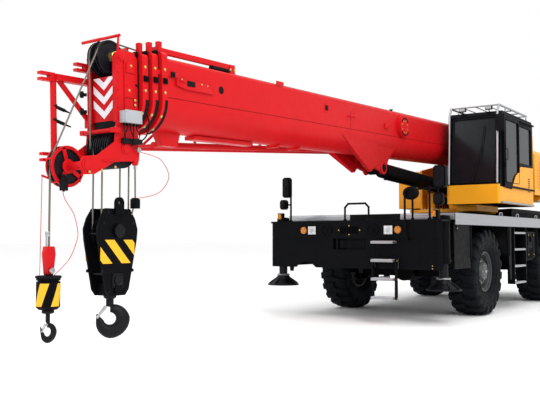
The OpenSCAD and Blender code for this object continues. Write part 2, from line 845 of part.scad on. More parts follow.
module turntable() {
  color([0.93, 0.62, 0.08]) difference() {
    union() {
      rod_z(slew_x, 0, ring_z0 + 5, table_z0 + 1, ring_bore - fit);
      rod_z(slew_x, 0, table_z0, table_z1, ring_r + 20);
      box(table_tail, table_front, -620, 620, table_z0, table_z1);
      // Brackets that carry the cab
      box(slew_x - 300, slew_x + 900, 500, 900, table_z0 + 5, cab_z0);
      both_sides() plate_xz([
        [table_front, table_z1 - 1], [table_front, plate_front_z], [slew_x - 300, plate_front_z + 160],
        [pivot_x + 260, pivot_z + 200], [pivot_x - 160, pivot_z + 200], [table_back, tail_high - 150],
        [table_back, tail_low + 50], [slew_x - 1400, tail_low - 100], [table_tail - 60, table_z1 - 1]
      ], plate_y, plate_y + plate_t);
      rod_y(pivot_x, -plate_y - plate_t - 25, plate_y + plate_t + 25, pivot_z, 60);
      rod_y(lift_base_x, -plate_y - 10, plate_y + 10, lift_base_z, lift_pin_r);
      box(table_tail, table_tail + 50, -plate_y - 1, plate_y + 1, table_z1 - 1, 2300);
      // Slewing gearbox and swivel guards ahead of the plates
      for (y = [-230, 230]) rod_z(slew_x + 330, y, table_z1 - 1, table_z1 + 330, 110);
    }
    rod_z(slew_x, 0, ring_z0, table_z1 + 1, 300);
  }
}

module counterweight() {
  edge = 100;
  color([0.93, 0.62, 0.08]) difference() {
    plate_yz([
      [-tail_half, tail_low + edge], [-tail_half + edge, tail_low], [tail_half - edge, tail_low],
      [tail_half, tail_low + edge], [tail_half, tail_high - edge], [tail_half - edge, tail_high],
      [-tail_half + edge, tail_high], [-tail_half, tail_high - edge]
    ], slew_x - tail_back, table_back);
    // Slanted back edge and two shallow panels
    translate([slew_x - tail_back, 0, tail_high]) rotate([0, 45, 0]) box(-120, 120, -tail_half - 1,
      tail_half + 1, -120, 120);
    both_sides() box(slew_x - tail_back - 1, slew_x - tail_back + 25, 120, tail_half - 180,
      tail_low + 160, tail_high - 280);
  }
}

winch_r = 215;
winch_x = [pivot_x - 800, pivot_x - 1210];
winch_z = [2740, 2410];

module winches() {
  color([0.22, 0.22, 0.23]) for (i = [0, 1]) {
    translate([winch_x[i], 0, winch_z[i]]) rotate([-90, 0, 0]) rotate_extrude() polygon([
      [0, -plate_y], [winch_r - 60, -plate_y], [winch_r - 60, -plate_y + 30], [winch_r, -plate_y + 30],
      [winch_r, -plate_y + 60], [winch_r - 45, -plate_y + 60], [winch_r - 45, plate_y - 60], [winch_r,
        plate_y - 60],
      [winch_r, plate_y - 30], [winch_r - 60, plate_y - 30], [winch_r - 60, plate_y], [0, plate_y]
    ]);
  }
}

house_y = 1380;
house_low = 2220;
house_top = 3180;
house_t = 20;
right_y = 1250;
right_x0 = slew_x - 1400;
right_x1 = slew_x - 250;
right_top = 2740;
plate_out = plate_y + plate_t;

module side_housing() {
  color([0.93, 0.62, 0.08]) union() {
    difference() {
      union() {
        plate_yz([
          [plate_out, house_low], [house_y, house_low], [house_y, house_top - 120], [house_y - 120,
            house_top],
          [plate_out, house_top]
        ], slew_x - 2300, pivot_x - 100);
        for (z = [house_low + 180 : 60 : house_low + 600])
          box(slew_x - 2100, pivot_x - 300, house_y - 1, house_y + 12, z, z + 26);
      }
      plate_yz([
        [plate_out + house_t, house_low - 1], [house_y - house_t, house_low - 1], [house_y - house_t,
          house_top - 130],
        [house_y - 130, house_top - house_t], [plate_out + house_t, house_top - house_t]
      ], slew_x - 2300 + house_t, pivot_x - 100 - house_t);
    }
    difference() {
      plate_yz([
        [-right_y, hood_top + 20], [-plate_out, hood_top + 20], [-plate_out, right_top],
          [-right_y + 100, right_top],
        [-right_y, right_top - 100]
      ], right_x0, right_x1);
      plate_yz([
        [-right_y + house_t, hood_top + 19], [-plate_out - house_t, hood_top + 19],
        [-plate_out - house_t, right_top - house_t], [-right_y + 108, right_top - house_t],
        [-right_y + house_t, right_top - 108]
      ], right_x0 + house_t, right_x1 - house_t);
    }
  }
}

// Side outline of the cab, its roof corners cut
module cab_outline() {
  c = 70;
  polygon([
    [cab_x0, cab_z0], [cab_x1, cab_z0], [cab_x1, skirt_z], [cab_x1 - cab_rake + 6, cab_z1 - c],
    [cab_x1 - cab_rake - c, cab_z1], [cab_x0 + c, cab_z1], [cab_x0, cab_z1 - c]
  ]);
}

// Yellow quarter on the left side: low under the door, swept up behind it
module quarter_outline(g) {
  x = door_x0 - 60;
  polygon([
    [cab_x0 - g, cab_z0 - g], [cab_x1 + g, cab_z0 - g], [cab_x1 + g, skirt_z - 40 + g], [x + 420,
      skirt_z - 70 + g],
    [x + 330 + g, skirt_z - 10], [x + 300 + g, skirt_z + 120], [x + 200 + g, skirt_z + 260],
    [x + g, quarter_z - 90], [x - 160, quarter_z - 30 + g], [cab_x0 - g, quarter_z + g]
  ]);
}

module cab_shell() {
  color([0.04, 0.04, 0.045]) difference() {
    union() {
      translate([0, cab_y1, 0]) rotate([90, 0, 0]) linear_extrude(cab_y1 - cab_y0) cab_outline();
      // Door rails above and below
      box(cab_x0 + 20, cab_x1 - cab_rake - 60, cab_y1 - 1, door_y1, door_high + fit, door_high + 30);
      box(cab_x0 + 20, cab_x1 - cab_rake - 60, cab_y1 - 1, door_y1, door_low - 30, door_low - fit);
    }
    translate([0, cab_y1 + 1, 0]) rotate([90, 0, 0]) linear_extrude(quarter_t + 1) quarter_outline(0);
    plate_xz([
      [cab_x0 + cab_t, sill_z], [cab_x1 - cab_t, sill_z], [cab_x1 - cab_t, skirt_z],
      [cab_x1 - cab_rake - cab_t, roof_z0], [cab_x0 + cab_t, roof_z0]
    ], cab_y0 + cab_t, cab_y1 - cab_t);
    // Windscreen, right window, rear window, left rear window and the doorway
    box(cab_x1 - cab_rake - 200, cab_x1 + 1, cab_y0 + 90, cab_y1 - 90, skirt_z + 40, roof_z0 - 60);
    box(cab_x0 + 120, cab_x1 - 330, cab_y0 - 1, cab_y0 + cab_t + 1, skirt_z + 100, roof_z0 - 80);
    box(cab_x0 - 1, cab_x0 + cab_t + 1, cab_y0 + 100, cab_y1 - 100, quarter_z, roof_z0 - 80);
    box(cab_x0 + 110, door_x0 - 90, cab_y1 - cab_t - 1, cab_y1 + 1, quarter_z + 40, roof_z0 - 90);
    box(door_x0, cab_x1 - cab_rake - 120, cab_y1 - cab_t - 1, cab_y1 + 1, door_low + 20, roof_z0 - 60);
  }
}

module cab_panels() {
  color([0.93, 0.62, 0.08]) {
    // Front skirt, its ends turned back
    translate([0, 0, cab_z0]) linear_extrude(skirt_z - cab_z0) polygon([
      [cab_x1, cab_y0 - 10], [cab_x1 + 22, cab_y0 - 10], [cab_x1 + 40, cab_y0 + 40], [cab_x1 + 40,
        cab_y1 - 30],
      [cab_x1 + 22, cab_y1], [cab_x1, cab_y1]
    ]);
    translate([0, cab_y1, 0]) rotate([90, 0, 0]) linear_extrude(quarter_t) intersection() {
      quarter_outline(-fit);
      cab_outline();
    }
  }
}

module cab_glass() {
  color([0.10, 0.13, 0.15]) union() {
    intersection() {
      plate_xz([
        [cab_x1 - 26, skirt_z], [cab_x1 - 20, skirt_z], [cab_x1 - cab_rake - 20, cab_z1],
          [cab_x1 - cab_rake - 26, cab_z1]
      ], cab_y0 + 90 + fit, cab_y1 - 90 - fit);
      box(cab_x1 - cab_rake - 300, cab_x1 + 10, cab_y0, cab_y1, skirt_z + 40 + fit, roof_z0 - 60 - fit);
    }
    box(cab_x0 + 120 + fit, cab_x1 - 330 - fit, cab_y0 + 20, cab_y0 + 26, skirt_z + 100 + fit,
      roof_z0 - 80 - fit);
    box(cab_x0 + 20, cab_x0 + 26, cab_y0 + 100 + fit, cab_y1 - 100 - fit, quarter_z + fit,
      roof_z0 - 80 - fit);
    box(cab_x0 + 110 + fit, door_x0 - 90 - fit, cab_y1 - 26, cab_y1 - 20, quarter_z + 40 + fit,
      roof_z0 - 90 - fit);
  }
}

guard_r = 20;
guard_z = cab_z1 + 105;
guard_y = [cab_y0 + 30, cab_y1 - 40];

// Tubes up the screen pillars and over the roof, with a grid between them
module cab_guard() {
  back = cab_x0 + 260;
  front = cab_x1 - 60;
  color([0.62, 0.63, 0.64]) union() {
    for (y = guard_y) {
      bent_bar([
        [cab_x1 + 40, y, skirt_z + 20], [cab_x1 - cab_rake + 75, y, cab_z1 - 60], [front - 60, y, guard_z],
        [back, y, guard_z]
      ], guard_r);
      bar([cab_x1 - 3.8 + fit, y, skirt_z + 60], [cab_x1 + 40, y, skirt_z + 60], 12);
      for (x = [back + 20, front - 420]) rod_z(x, y, cab_z1 + fit, guard_z, 14);
    }
    for (x = [back, back + 420, back + 840, front - 70]) rod_y(x, guard_y[0], guard_y[1], guard_z, 14);
    for (y = [cab_y0 + 260, cab_y0 + 490, cab_y0 + 720]) rod_x(back, front - 70, y, guard_z, 10);
  }
}

module cab_fittings() {
  seat_x0 = cab_x0 + 380;
  seat_y0 = 720;
  seat_y1 = 1220;
  color([0.08, 0.08, 0.085]) union() {
    plate_xz([
      [seat_x0, sill_z + 440], [seat_x0 - 60, sill_z + 1050], [seat_x0 + 40, sill_z + 1060],
        [seat_x0 + 130, sill_z + 540],
      [seat_x0 + 540, sill_z + 520], [seat_x0 + 560, sill_z + 440], [seat_x0 + 420, sill_z + 390],
      [seat_x0 + 420, sill_z], [seat_x0 + 100, sill_z], [seat_x0 + 100, sill_z + 390]
    ], seat_y0, seat_y1);
  }
}

module cab_door() {
  color([0.04, 0.04, 0.045]) difference() {
    box(door_x0 - 30, cab_x1 - cab_rake - 60, door_y0, door_y1, door_low, door_high);
    box(door_x0 + 30, cab_x1 - cab_rake - 120, door_y0 - 1, door_y1 + 1, door_low + 60, door_high - 60);
  }
}

module door_glass() {
  color([0.10, 0.13, 0.15])
    box(door_x0 + 30 + fit, cab_x1 - cab_rake - 120 - fit, door_y0 + 14, door_y0 + 20, door_low + 60 + fit,
      door_high - 60 - fit);
}

// Boom
module section_2d(w, h) {
  rc = 50;
  union() {
    translate([0, w / 2]) circle(r = w / 2, $fn = 96);
    translate([-w / 2, w / 2]) square([w, h - w / 2 - rc]);
    translate([-w / 2 + rc, h - 2 * rc]) square([w - 2 * rc, 2 * rc]);
    for (k = [-1, 1]) translate([k * (w / 2 - rc), h - rc]) circle(r = rc, $fn = 48);
  }
}

// Boom section drawn along the boom from s0 to s1, its outline grown by g
module section_bar(i, s0, s1, g) {
  translate([s0, 0, tele_z[i] - g]) rotate([90, 0, 90]) linear_extrude(s1 - s0)
    section_2d(tele_w[i] + 2 * g, tele_h[i] + 2 * g);
}

module section_tube(i, s0) {
  top = tele_z[i] + tele_h[i];
  difference() {
    union() {
      section_bar(i, s0, tele_end[i], 0);
      section_bar(i, tele_end[i] - collar_len, tele_end[i], collar_t);
      // Tall lug and rope guide on top of the collar
      for (y = [tele_w[i] / 2 - 70, -tele_w[i] / 2 + 20])
        box(tele_end[i] - 70, tele_end[i] - 20, y, y + 50, top, top + collar_t + 120);
    }
    section_bar(i, s0 - 1, tele_end[i] - collar_len, -boom_wall);
    section_bar(i + 1, tele_end[i] - collar_len - 1, tele_end[i] + 1, fit);
  }
}

gusset_s = [lug_s - 330, lug_s + 480, lug_s + 1580];
gusset_z = -boom_low + boom_w / 2;
reel_s = 3970;
reel_z = 285;
arm_s = [base_len - 1400, base_len - 60];
arm_top = boom_h - boom_low + 125;

module boom_base() {
  color([0.75, 0.02, 0.03]) on_boom() difference() {
    union() {
      section_tube(0, -260);
      rod_y(0, -boom_w / 2 + 5, boom_w / 2 - 5, 0, 110);
      for (s = jib_hold) box(s - 60, s + 60, -jib_y + jib_chord_r + fit, -boom_w / 2 + 5, 250, 400);
      both_sides() {
        // Lift bracket: a wedge from the side of the boom down to the pin lugs
        hull() {
          box(gusset_s[0], gusset_s[1], boom_w / 2 - 12, boom_w / 2, gusset_z - 20, gusset_z);
          box(gusset_s[1], gusset_s[2], boom_w / 2 - 4, boom_w / 2, gusset_z - 8, gusset_z);
          box(lug_s - 60, lug_s + 430, 125, 165, lug_z + 20, lug_z + 60);
        }
        plate_xz([
          [lug_s - 300, -boom_low + 100], [lug_s + 400, -boom_low + 100], [lug_s + 420, lug_z + 10],
          [lug_s + 90, lug_z - 60], [lug_s + 30, lug_z - 105], [lug_s - 60, lug_z - 95], [lug_s - 105,
            lug_z]
        ], 120, 165);
        // Reel cover
        rod_y(reel_s, boom_w / 2 - 20, boom_w / 2 + 70, reel_z, 170);
        rod_y(reel_s, boom_w / 2 - 20, boom_w / 2 + 45, reel_z, 190);
      }
      // Arm on top behind the collar
      box(arm_s[0], arm_s[1], 150, 205, arm_top - 60, arm_top);
      box(arm_s[0] - 40, arm_s[0] + 60, 140, 215, boom_h - boom_low - boom_wall + 2, arm_top);
      box(arm_s[1] - 60, arm_s[1], 140, 215, boom_h - boom_low - boom_wall + 2, arm_top);
    }
    rod_y(0, -boom_w, boom_w, 0, 60 + fit);
    both_sides() rod_y(lug_s, 100, 200, lug_z, lift_pin_r);
    section_bar(0, gusset_s[0] - 200, gusset_s[2] + 200, -boom_wall);
  }
}

jib_s0 = 2200;
jib_s1 = base_len - 640;
jib_y = 430;
jib_wide = [230, 440];
jib_low = [0, -325];
jib_high = [300, 350];
jib_chord_r = 38;
jib_lace_r = 20;
jib_hold = [3000, base_len - 1040];
jib_bays = 6;

// Corner of the jib at a share t of its length, on the outer side (o = 1) and at the top (u = 1)
function mix(a, t) = a[0] + (a[1] - a[0]) * t;
function jib_point(t, o, u) = [
  jib_s0 + (jib_s1 - jib_s0) * t,
  -jib_y - o * mix(jib_wide, t),
  u == 1 ? mix(jib_high, t) : mix(jib_low, t)
];

module stowed_jib() {
  color([0.75, 0.02, 0.03]) on_boom() union() {
    for (o = [0, 1], u = [0, 1]) bar(jib_point(0, o, u), jib_point(1, o, u), jib_chord_r);
    for (i = [0:jib_bays]) {
      t = 0.01 + 0.98 * i / jib_bays;
      for (o = [0, 1]) bar(jib_point(t, o, 0), jib_point(t, o, 1), jib_lace_r);
      for (u = [0, 1]) bar(jib_point(t, 0, u), jib_point(t, 1, u), jib_lace_r);
    }
    // Slanted lacing on the outer side
    for (i = [0:jib_bays - 1]) {
      t0 = 0.03 + 0.98 * i / jib_bays;
      t1 = -0.01 + 0.98 * (i + 1) / jib_bays;
      bar(jib_point(t0, 1, i % 2), jib_point(t1, 1, 1 - i % 2), jib_lace_r - 3);
    }
  }
}

module lift_frame() {
  translate([lift_base_x, 0, lift_base_z]) rotate([0, -lift_angle, 0]) children();
}

module lift_barrel() {
  color([0.05, 0.05, 0.055]) lift_frame() difference() {
    union() {
      rod_x(0, barrel_len, 0, 0, barrel_r);
      rod_y(0, -90, 90, 0, eye_r + 30);
    }
    rod_x(220, barrel_len + 1, 0, 0, lift_rod_r + fit);
    rod_y(0, -200, 200, 0, lift_pin_r + fit);
  }
}

module lift_rod() {
  color([0.65, 0.65, 0.66]) lift_frame() difference() {
    union() {
      rod_x(260, lift_len, 0, 0, lift_rod_r);
      rod_y(lift_len, -90, 90, 0, eye_r);
    }
    rod_y(lift_len, -200, 200, 0, lift_pin_r);
  }
}

module tele_1() {
  color([0.75, 0.02, 0.03]) on_boom() section_tube(1, 500);
}

module tele_2() {
  color([0.75, 0.02, 0.03]) on_boom() section_tube(2, 600);
}

module tele_3() {
  color([0.75, 0.02, 0.03]) on_boom() difference() {
    section_bar(3, 700, head_s + 35, 0);
    section_bar(3, 699, head_s + 36, -boom_wall);
  }
}

cheek_y0 = tele_w[3] / 2;
cheek_t = 16;
cheek_y1 = cheek_y0 + cheek_t;
shaft_r = 42;
flange_lip = 20;

// Side outline of the head from the start of the head and the underside of the last section
module cheek() {
  translate([head_s, 0, tele_z[3]]) plate_xz([
    [0, tele_h[3]], [40, 700], [270, 700], [300, 640], [300, -40], [330, -250], [560, -400], [740, -420],
    [800, -505], [740, -600], [600, -590], [330, -455], [60, -440], [0, -330]
  ], cheek_y0, cheek_y1);
}

module boom_head() {
  color([0.75, 0.02, 0.03]) on_boom() union() {
    both_sides() cheek();
    translate([head_s, 0, tele_z[3]]) {
      // Plate between the cheeks, and the flange along each cheek's front edge
      box(250, 266, -cheek_y0 - 1, cheek_y0 + 1, -22, 440);
      both_sides() box(284, 300, cheek_y0 - 40, cheek_y1, -40, 640);
      // Rope guards over the lower sheaves and over the top sheaves
      both_sides() {
        box(280, 380, cheek_y0 - 1, cheek_y1 + 34, -160, -110);
        bar([250, cheek_y0 - 8, 690], [190, cheek_y0 - 60, 870], 12);
      }
      rod_y(355, -cheek_y1 - 30, cheek_y1 + 30, -135, 22);
      rod_y(190, -cheek_y0 + 40, cheek_y0 - 40, 870, 16);
      bar([190, -cheek_y0 + 90, 870], [420, -cheek_y0 + 90, 790], 12);
      rod_y(420, -cheek_y0 + 60, cheek_y0 - 60, 790, 16);
      bar([190, cheek_y0 - 90, 870], [420, cheek_y0 - 90, 790], 12);
    }
    rod_y(top_sheave_s, -cheek_y1, cheek_y1, top_sheave_z, shaft_r);
    rod_y(low_sheave_s, -cheek_y1, cheek_y1, low_sheave_z, shaft_r);
    rod_y(aux_sheave_s, -cheek_y1, cheek_y1, aux_sheave_z, shaft_r);
  }
}

fork_side = 32;
arm_y = cheek_y1 + 66;
top_fork_y = cheek_y1 + fork_side;
fork_len = 170;
fork_slot = 115;
pin_hole_r = 18;
pin_back = 42;
low_fork_back = 12;

// Fork that points forward, its tip at s, with an upright pin hole
module fork(s, y, z) {
  difference() {
    box(s - fork_len, s, y - fork_side, y + fork_side, z - fork_half, z + fork_half);
    box(s - fork_slot, s + 1, y - fork_side - 1, y + fork_side + 1, z - 16, z + 16);
    rod_z(s - pin_back, y, z - 60, z + 60, pin_hole_r);
  }
}

module jib_adapter() {
  tube_s = fork_tip_s - fork_len;
  color([0.75, 0.02, 0.03]) on_boom() {
    fork(top_fork_s, -top_fork_y, top_fork_z);
    union() {
      fork(fork_tip_s, -arm_y, fork_up_z);
      fork(fork_tip_s - low_fork_back, -arm_y, fork_low_z);
      rod_z(tube_s, -arm_y, fork_low_z - 40, fork_up_z + 40, 32);
      box(head_s + 120, tube_s, -arm_y - 20, -cheek_y1, fork_up_z - 32, fork_up_z + 32);
      box(head_s + 620, tube_s, -arm_y - 20, -cheek_y1, fork_low_z - 32, fork_low_z + 32);
      bar([tube_s - 60, -arm_y, fork_up_z - 10], [head_s + 210, -arm_y, fork_up_z - 420], 28);
      box(head_s + 140, head_s + 260, -arm_y - 28, -cheek_y1, fork_up_z - 480, fork_up_z - 380);
    }
  }
}

// Grooved sheave across the boom
sheave_w = 44;

module sheave(s, y, z, pitch_r) {
  groove_r = pitch_r - rope_r - fit;
  flange_r = pitch_r + flange_lip;
  translate([s, y, z]) rotate([-90, 0, 0]) rotate_extrude($fn = 96) polygon([
    [shaft_r + fit, -sheave_w / 2], [flange_r, -sheave_w / 2], [flange_r, -14], [groove_r, -rope_r - 1.5],
    [groove_r, rope_r + 1.5], [flange_r, 14], [flange_r, sheave_w / 2], [shaft_r + fit, sheave_w / 2]
  ]);
}

sheave_pitch = 66;
top_sheave_y = [-60, 56];

module head_sheaves() {
  color([0.18, 0.18, 0.19]) on_boom() {
    for (y = top_sheave_y) sheave(top_sheave_s, y, top_sheave_z, top_sheave_r);
    for (i = [-2:2]) sheave(low_sheave_s, block_y + i * sheave_pitch, low_sheave_z, sheave_r);
    sheave(aux_sheave_s, aux_y, aux_sheave_z, aux_sheave_r);
  }
}

// Hooks
module hook_block() {
  color([0.05, 0.05, 0.055]) translate([fall_x0, block_y, 0]) {
    difference() {
      union() {
        both_sides() plate_xz([
          [-block_top_half, block_top], [block_top_half, block_top], [block_half_x - 40, block_z + 130],
          [block_half_x, block_z + 20], [block_half_x - 10, block_z - 90], [block_low_half, block_low + 60],
          [block_low_half - 50, block_low], [-block_low_half + 50, block_low], [-block_low_half,
            block_low + 60],
          [-block_half_x + 10, block_z - 90], [-block_half_x, block_z + 20], [-block_half_x + 40,
            block_z + 130]
        ], block_half_y - block_plate, block_half_y);
        rod_y(0, -block_half_y - 25, block_half_y + 25, block_z, shaft_r);
        rod_y(0, -block_half_y - 12, block_half_y + 12, block_z, shaft_r + 30);
        rod_y(0, -block_half_y - 18, block_half_y + 18, block_low + crosshead_h / 2, 46);
        box(-95, 95, -block_half_y, block_half_y, block_low, block_low + crosshead_h);
        box(-100, 100, -block_half_y, block_half_y, block_top - 40, block_top);
        box(-58, 58, block_half_y - 1, block_half_y + lug_t, block_top - 60, block_top + 60);
        rod_y(0, block_half_y - 1, block_half_y + lug_t, block_top + 60, 58);
      }
      rod_z(0, 0, block_low - 1, block_low + crosshead_h + 1, shank_r + fit);
      rod_y(0, block_half_y - 10, block_half_y + lug_t + 10, block_top + 60, lug_hole_r);
    }
    for (i = [-1:1]) sheave(0, i * sheave_pitch, block_z, sheave_r);
  }
}

shank_r = 42;
crosshead_h = 130;
block_half_x = 280;
block_top_half = 170;
block_low_half = 160;
block_plate = 20;
lug_t = 30;
lug_hole_r = 22;

module main_falls() {
  color([0.45, 0.45, 0.46]) for (k = [-1, 1], i = [-1, 1])
    rod_z(fall_x0 + k * sheave_r, block_y + i * sheave_pitch, block_z, fall_z0, rope_r);
}

// J-shaped hook, lowest point at z0, hung from an upright shank
module hook(r, bar_r, z0, stem_r, stem_top) {
  zc = z0 + r + bar_r;
  union() {
    translate([0, 0, zc]) rotate([90, 0, 0]) rotate([0, 0,
      88]) rotate_extrude(angle = 250) translate([r, 0])
      circle(r = bar_r, $fn = 48);
    // Rounded point
    translate([r * cos(88 + 250), 0, zc + r * sin(88 + 250)]) sphere(r = bar_r + 2, $fn = 48);
    rod_z(0, 0, zc + r - 5, stem_top, stem_r);
  }
}

// Turn of the main hook in its swivel
hook_turn = 42;

module main_hook() {
  color([0.25, 0.25, 0.26]) translate([fall_x0, block_y, 0]) rotate([0, 0, -hook_turn]) union() {
    hook(120, 57, main_hook_z, shank_r, block_low + crosshead_h + 30);
    rod_z(0, 0, block_low + crosshead_h + fit, block_low + crosshead_h + 50, 62);
  }
}

aux_shank_r = 24;

module aux_weight() {
  edge = 25;
  color([0.05, 0.05, 0.055]) translate([aux_fall_x, aux_y, 0]) difference() {
    union() {
      rod_z(0, 0, aux_socket_z - 60, aux_z0, rope_r);
      plate_xz([
        [-30, aux_weight_z1 + 30], [30, aux_weight_z1 + 30], [52, aux_socket_z - 60], [38, aux_socket_z],
        [-38, aux_socket_z], [-52, aux_socket_z - 60]
      ], -32, 32);
      rod_z(0, 0, aux_weight_z1 - 1, aux_weight_z1 + 41, 34);
      rotate_extrude() polygon([
        [0, aux_weight_z0], [aux_weight_r - edge, aux_weight_z0], [aux_weight_r, aux_weight_z0 + edge],
        [aux_weight_r, aux_weight_z1 - 30], [aux_weight_r - 14, aux_weight_z1 - 30],
          [aux_weight_r - 14, aux_weight_z1 - 18],
        [aux_weight_r, aux_weight_z1 - 18], [aux_weight_r, aux_weight_z1], [0, aux_weight_z1]
      ]);
    }
    rod_z(0, 0, aux_weight_z0 - 1, aux_weight_z0 + 110, aux_shank_r + fit);
  }
}

module aux_hook() {
  color([0.25, 0.25, 0.26]) translate([aux_fall_x, aux_y, 0]) union() {
    hook(72, 30, aux_hook_z, aux_shank_r, aux_weight_z0 + 100);
    rod_z(0, 0, aux_weight_z0 - 40, aux_weight_z0 - fit, 60);
  }
}

chassis_frame();
front_box();
rear_box();
main_deck();
deck_trim();
rails_and_mirrors();
lamps();
engine_block();
engine_hood();
side_tanks();
driveline();
front_axle();
rear_axle();
knuckle_fl();
knuckle_fr();
knuckle_rl();
knuckle_rr();
tyre_fl();
tyre_fr();
tyre_rl();
tyre_rr();
rim_fl();
rim_fr();
rim_rl();
rim_rr();
beam_fl();
beam_fr();
beam_rl();
beam_rr();
jack_fl();
jack_fr();
jack_rl();
jack_rr();
turntable();
counterweight();
winches();
side_housing();
cab_shell();
cab_panels();
cab_glass();
cab_guard();
cab_fittings();
cab_door();
door_glass();
boom_base();
stowed_jib();
lift_barrel();
lift_rod();
tele_1();
tele_2();
tele_3();
boom_head();
jib_adapter();
head_sheaves();
hook_block();
main_falls();
main_hook();
aux_weight();
aux_hook();
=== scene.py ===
"""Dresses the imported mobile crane: camera, light, materials and the fine pieces, in metres."""

import json
from math import cos, exp, pi, radians, sin

import bmesh
import bpy
from mathutils import Matrix, Vector


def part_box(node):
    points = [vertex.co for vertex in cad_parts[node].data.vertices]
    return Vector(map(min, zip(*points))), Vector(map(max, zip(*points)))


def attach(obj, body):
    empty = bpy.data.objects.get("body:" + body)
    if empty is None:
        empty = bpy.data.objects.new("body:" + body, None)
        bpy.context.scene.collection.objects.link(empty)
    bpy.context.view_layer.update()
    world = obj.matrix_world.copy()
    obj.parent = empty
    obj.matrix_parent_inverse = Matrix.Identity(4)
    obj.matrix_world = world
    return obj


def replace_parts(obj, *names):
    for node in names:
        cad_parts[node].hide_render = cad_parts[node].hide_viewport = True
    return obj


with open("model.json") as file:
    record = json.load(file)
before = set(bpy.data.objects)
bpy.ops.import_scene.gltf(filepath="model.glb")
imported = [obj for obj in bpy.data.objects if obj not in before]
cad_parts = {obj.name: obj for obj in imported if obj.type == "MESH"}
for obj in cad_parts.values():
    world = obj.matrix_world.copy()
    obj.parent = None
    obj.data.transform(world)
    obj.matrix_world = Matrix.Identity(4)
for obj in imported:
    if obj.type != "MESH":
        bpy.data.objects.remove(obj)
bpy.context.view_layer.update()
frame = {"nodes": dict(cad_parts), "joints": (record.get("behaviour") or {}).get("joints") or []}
nodes = frame["nodes"]
scene = bpy.context.scene


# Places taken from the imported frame
def middle(node):
    lo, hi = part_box(node)
    return (Vector(lo) + Vector(hi)) / 2


X, Y, Z = Vector((1, 0, 0)), Vector((0, 1, 0)), Vector((0, 0, 1))
JOINTS = {j["name"]: j for j in frame["joints"]}
AXLE = middle("tyre_fl")
REAR = middle("tyre_rl")
FRONT = AXLE.x + 2.24
PIVOT = Vector(JOINTS["boom_luff"]["pos_m"])
ALONG = Vector(JOINTS["tele_1"]["axis"])
RISE = Vector((-ALONG.z, 0, ALONG.x))
CORNERS = ("fl", "fr", "rl", "rr")
WIDTHS = (0.6, 0.536, 0.472, 0.408)
HEIGHTS = (0.78, 0.732, 0.684, 0.636)
FLOORS = (-0.24, -0.216, -0.192, -0.168)
ENDS = (9.94, 10.055, 10.17)
HEAD = 10.186
TABLE_TOP = 1.89
PLATE_OUT = 0.39
BOOM_BODIES = ("boom", "section_1", "section_2", "section_3")
SIDES = (1, -1)
TOP_SHEAVE = (10.421, 0.474)
LOW_SHEAVE = (10.37, -0.478)
SMALL_SHEAVE = (10.887, -0.673)
REEL = (3.97, 0.285)
ROPE_Z = 0.598
CHEEK = 0.22
CAB_MID = 0.97
CAB_FLOOR = 2.01
LAMP_Z = 1.445
TURN_LAMP_Y = 0.85
PANEL_TOP = 1.6
SIDE_STEPS = (AXLE.x - 2.00984, AXLE.x - 1.26984)
BACK = AXLE.x - 5.6


def at(x, y, z):
    """A point measured ahead of the front axle, to the left, and above the ground."""
    return Vector((AXLE.x + x, y, z))


def boom(s, y, z):
    """A point measured along the boom from its pivot, to the left, and square to the boom."""
    return PIVOT + ALONG * s + Y * y + RISE * z


def vec(x, y, z):
    return Vector((x, y, z))


def ahead(x, y, z):
    """A point measured ahead of the front panel, to the left, and above the ground."""
    return Vector((FRONT + x, y, z))


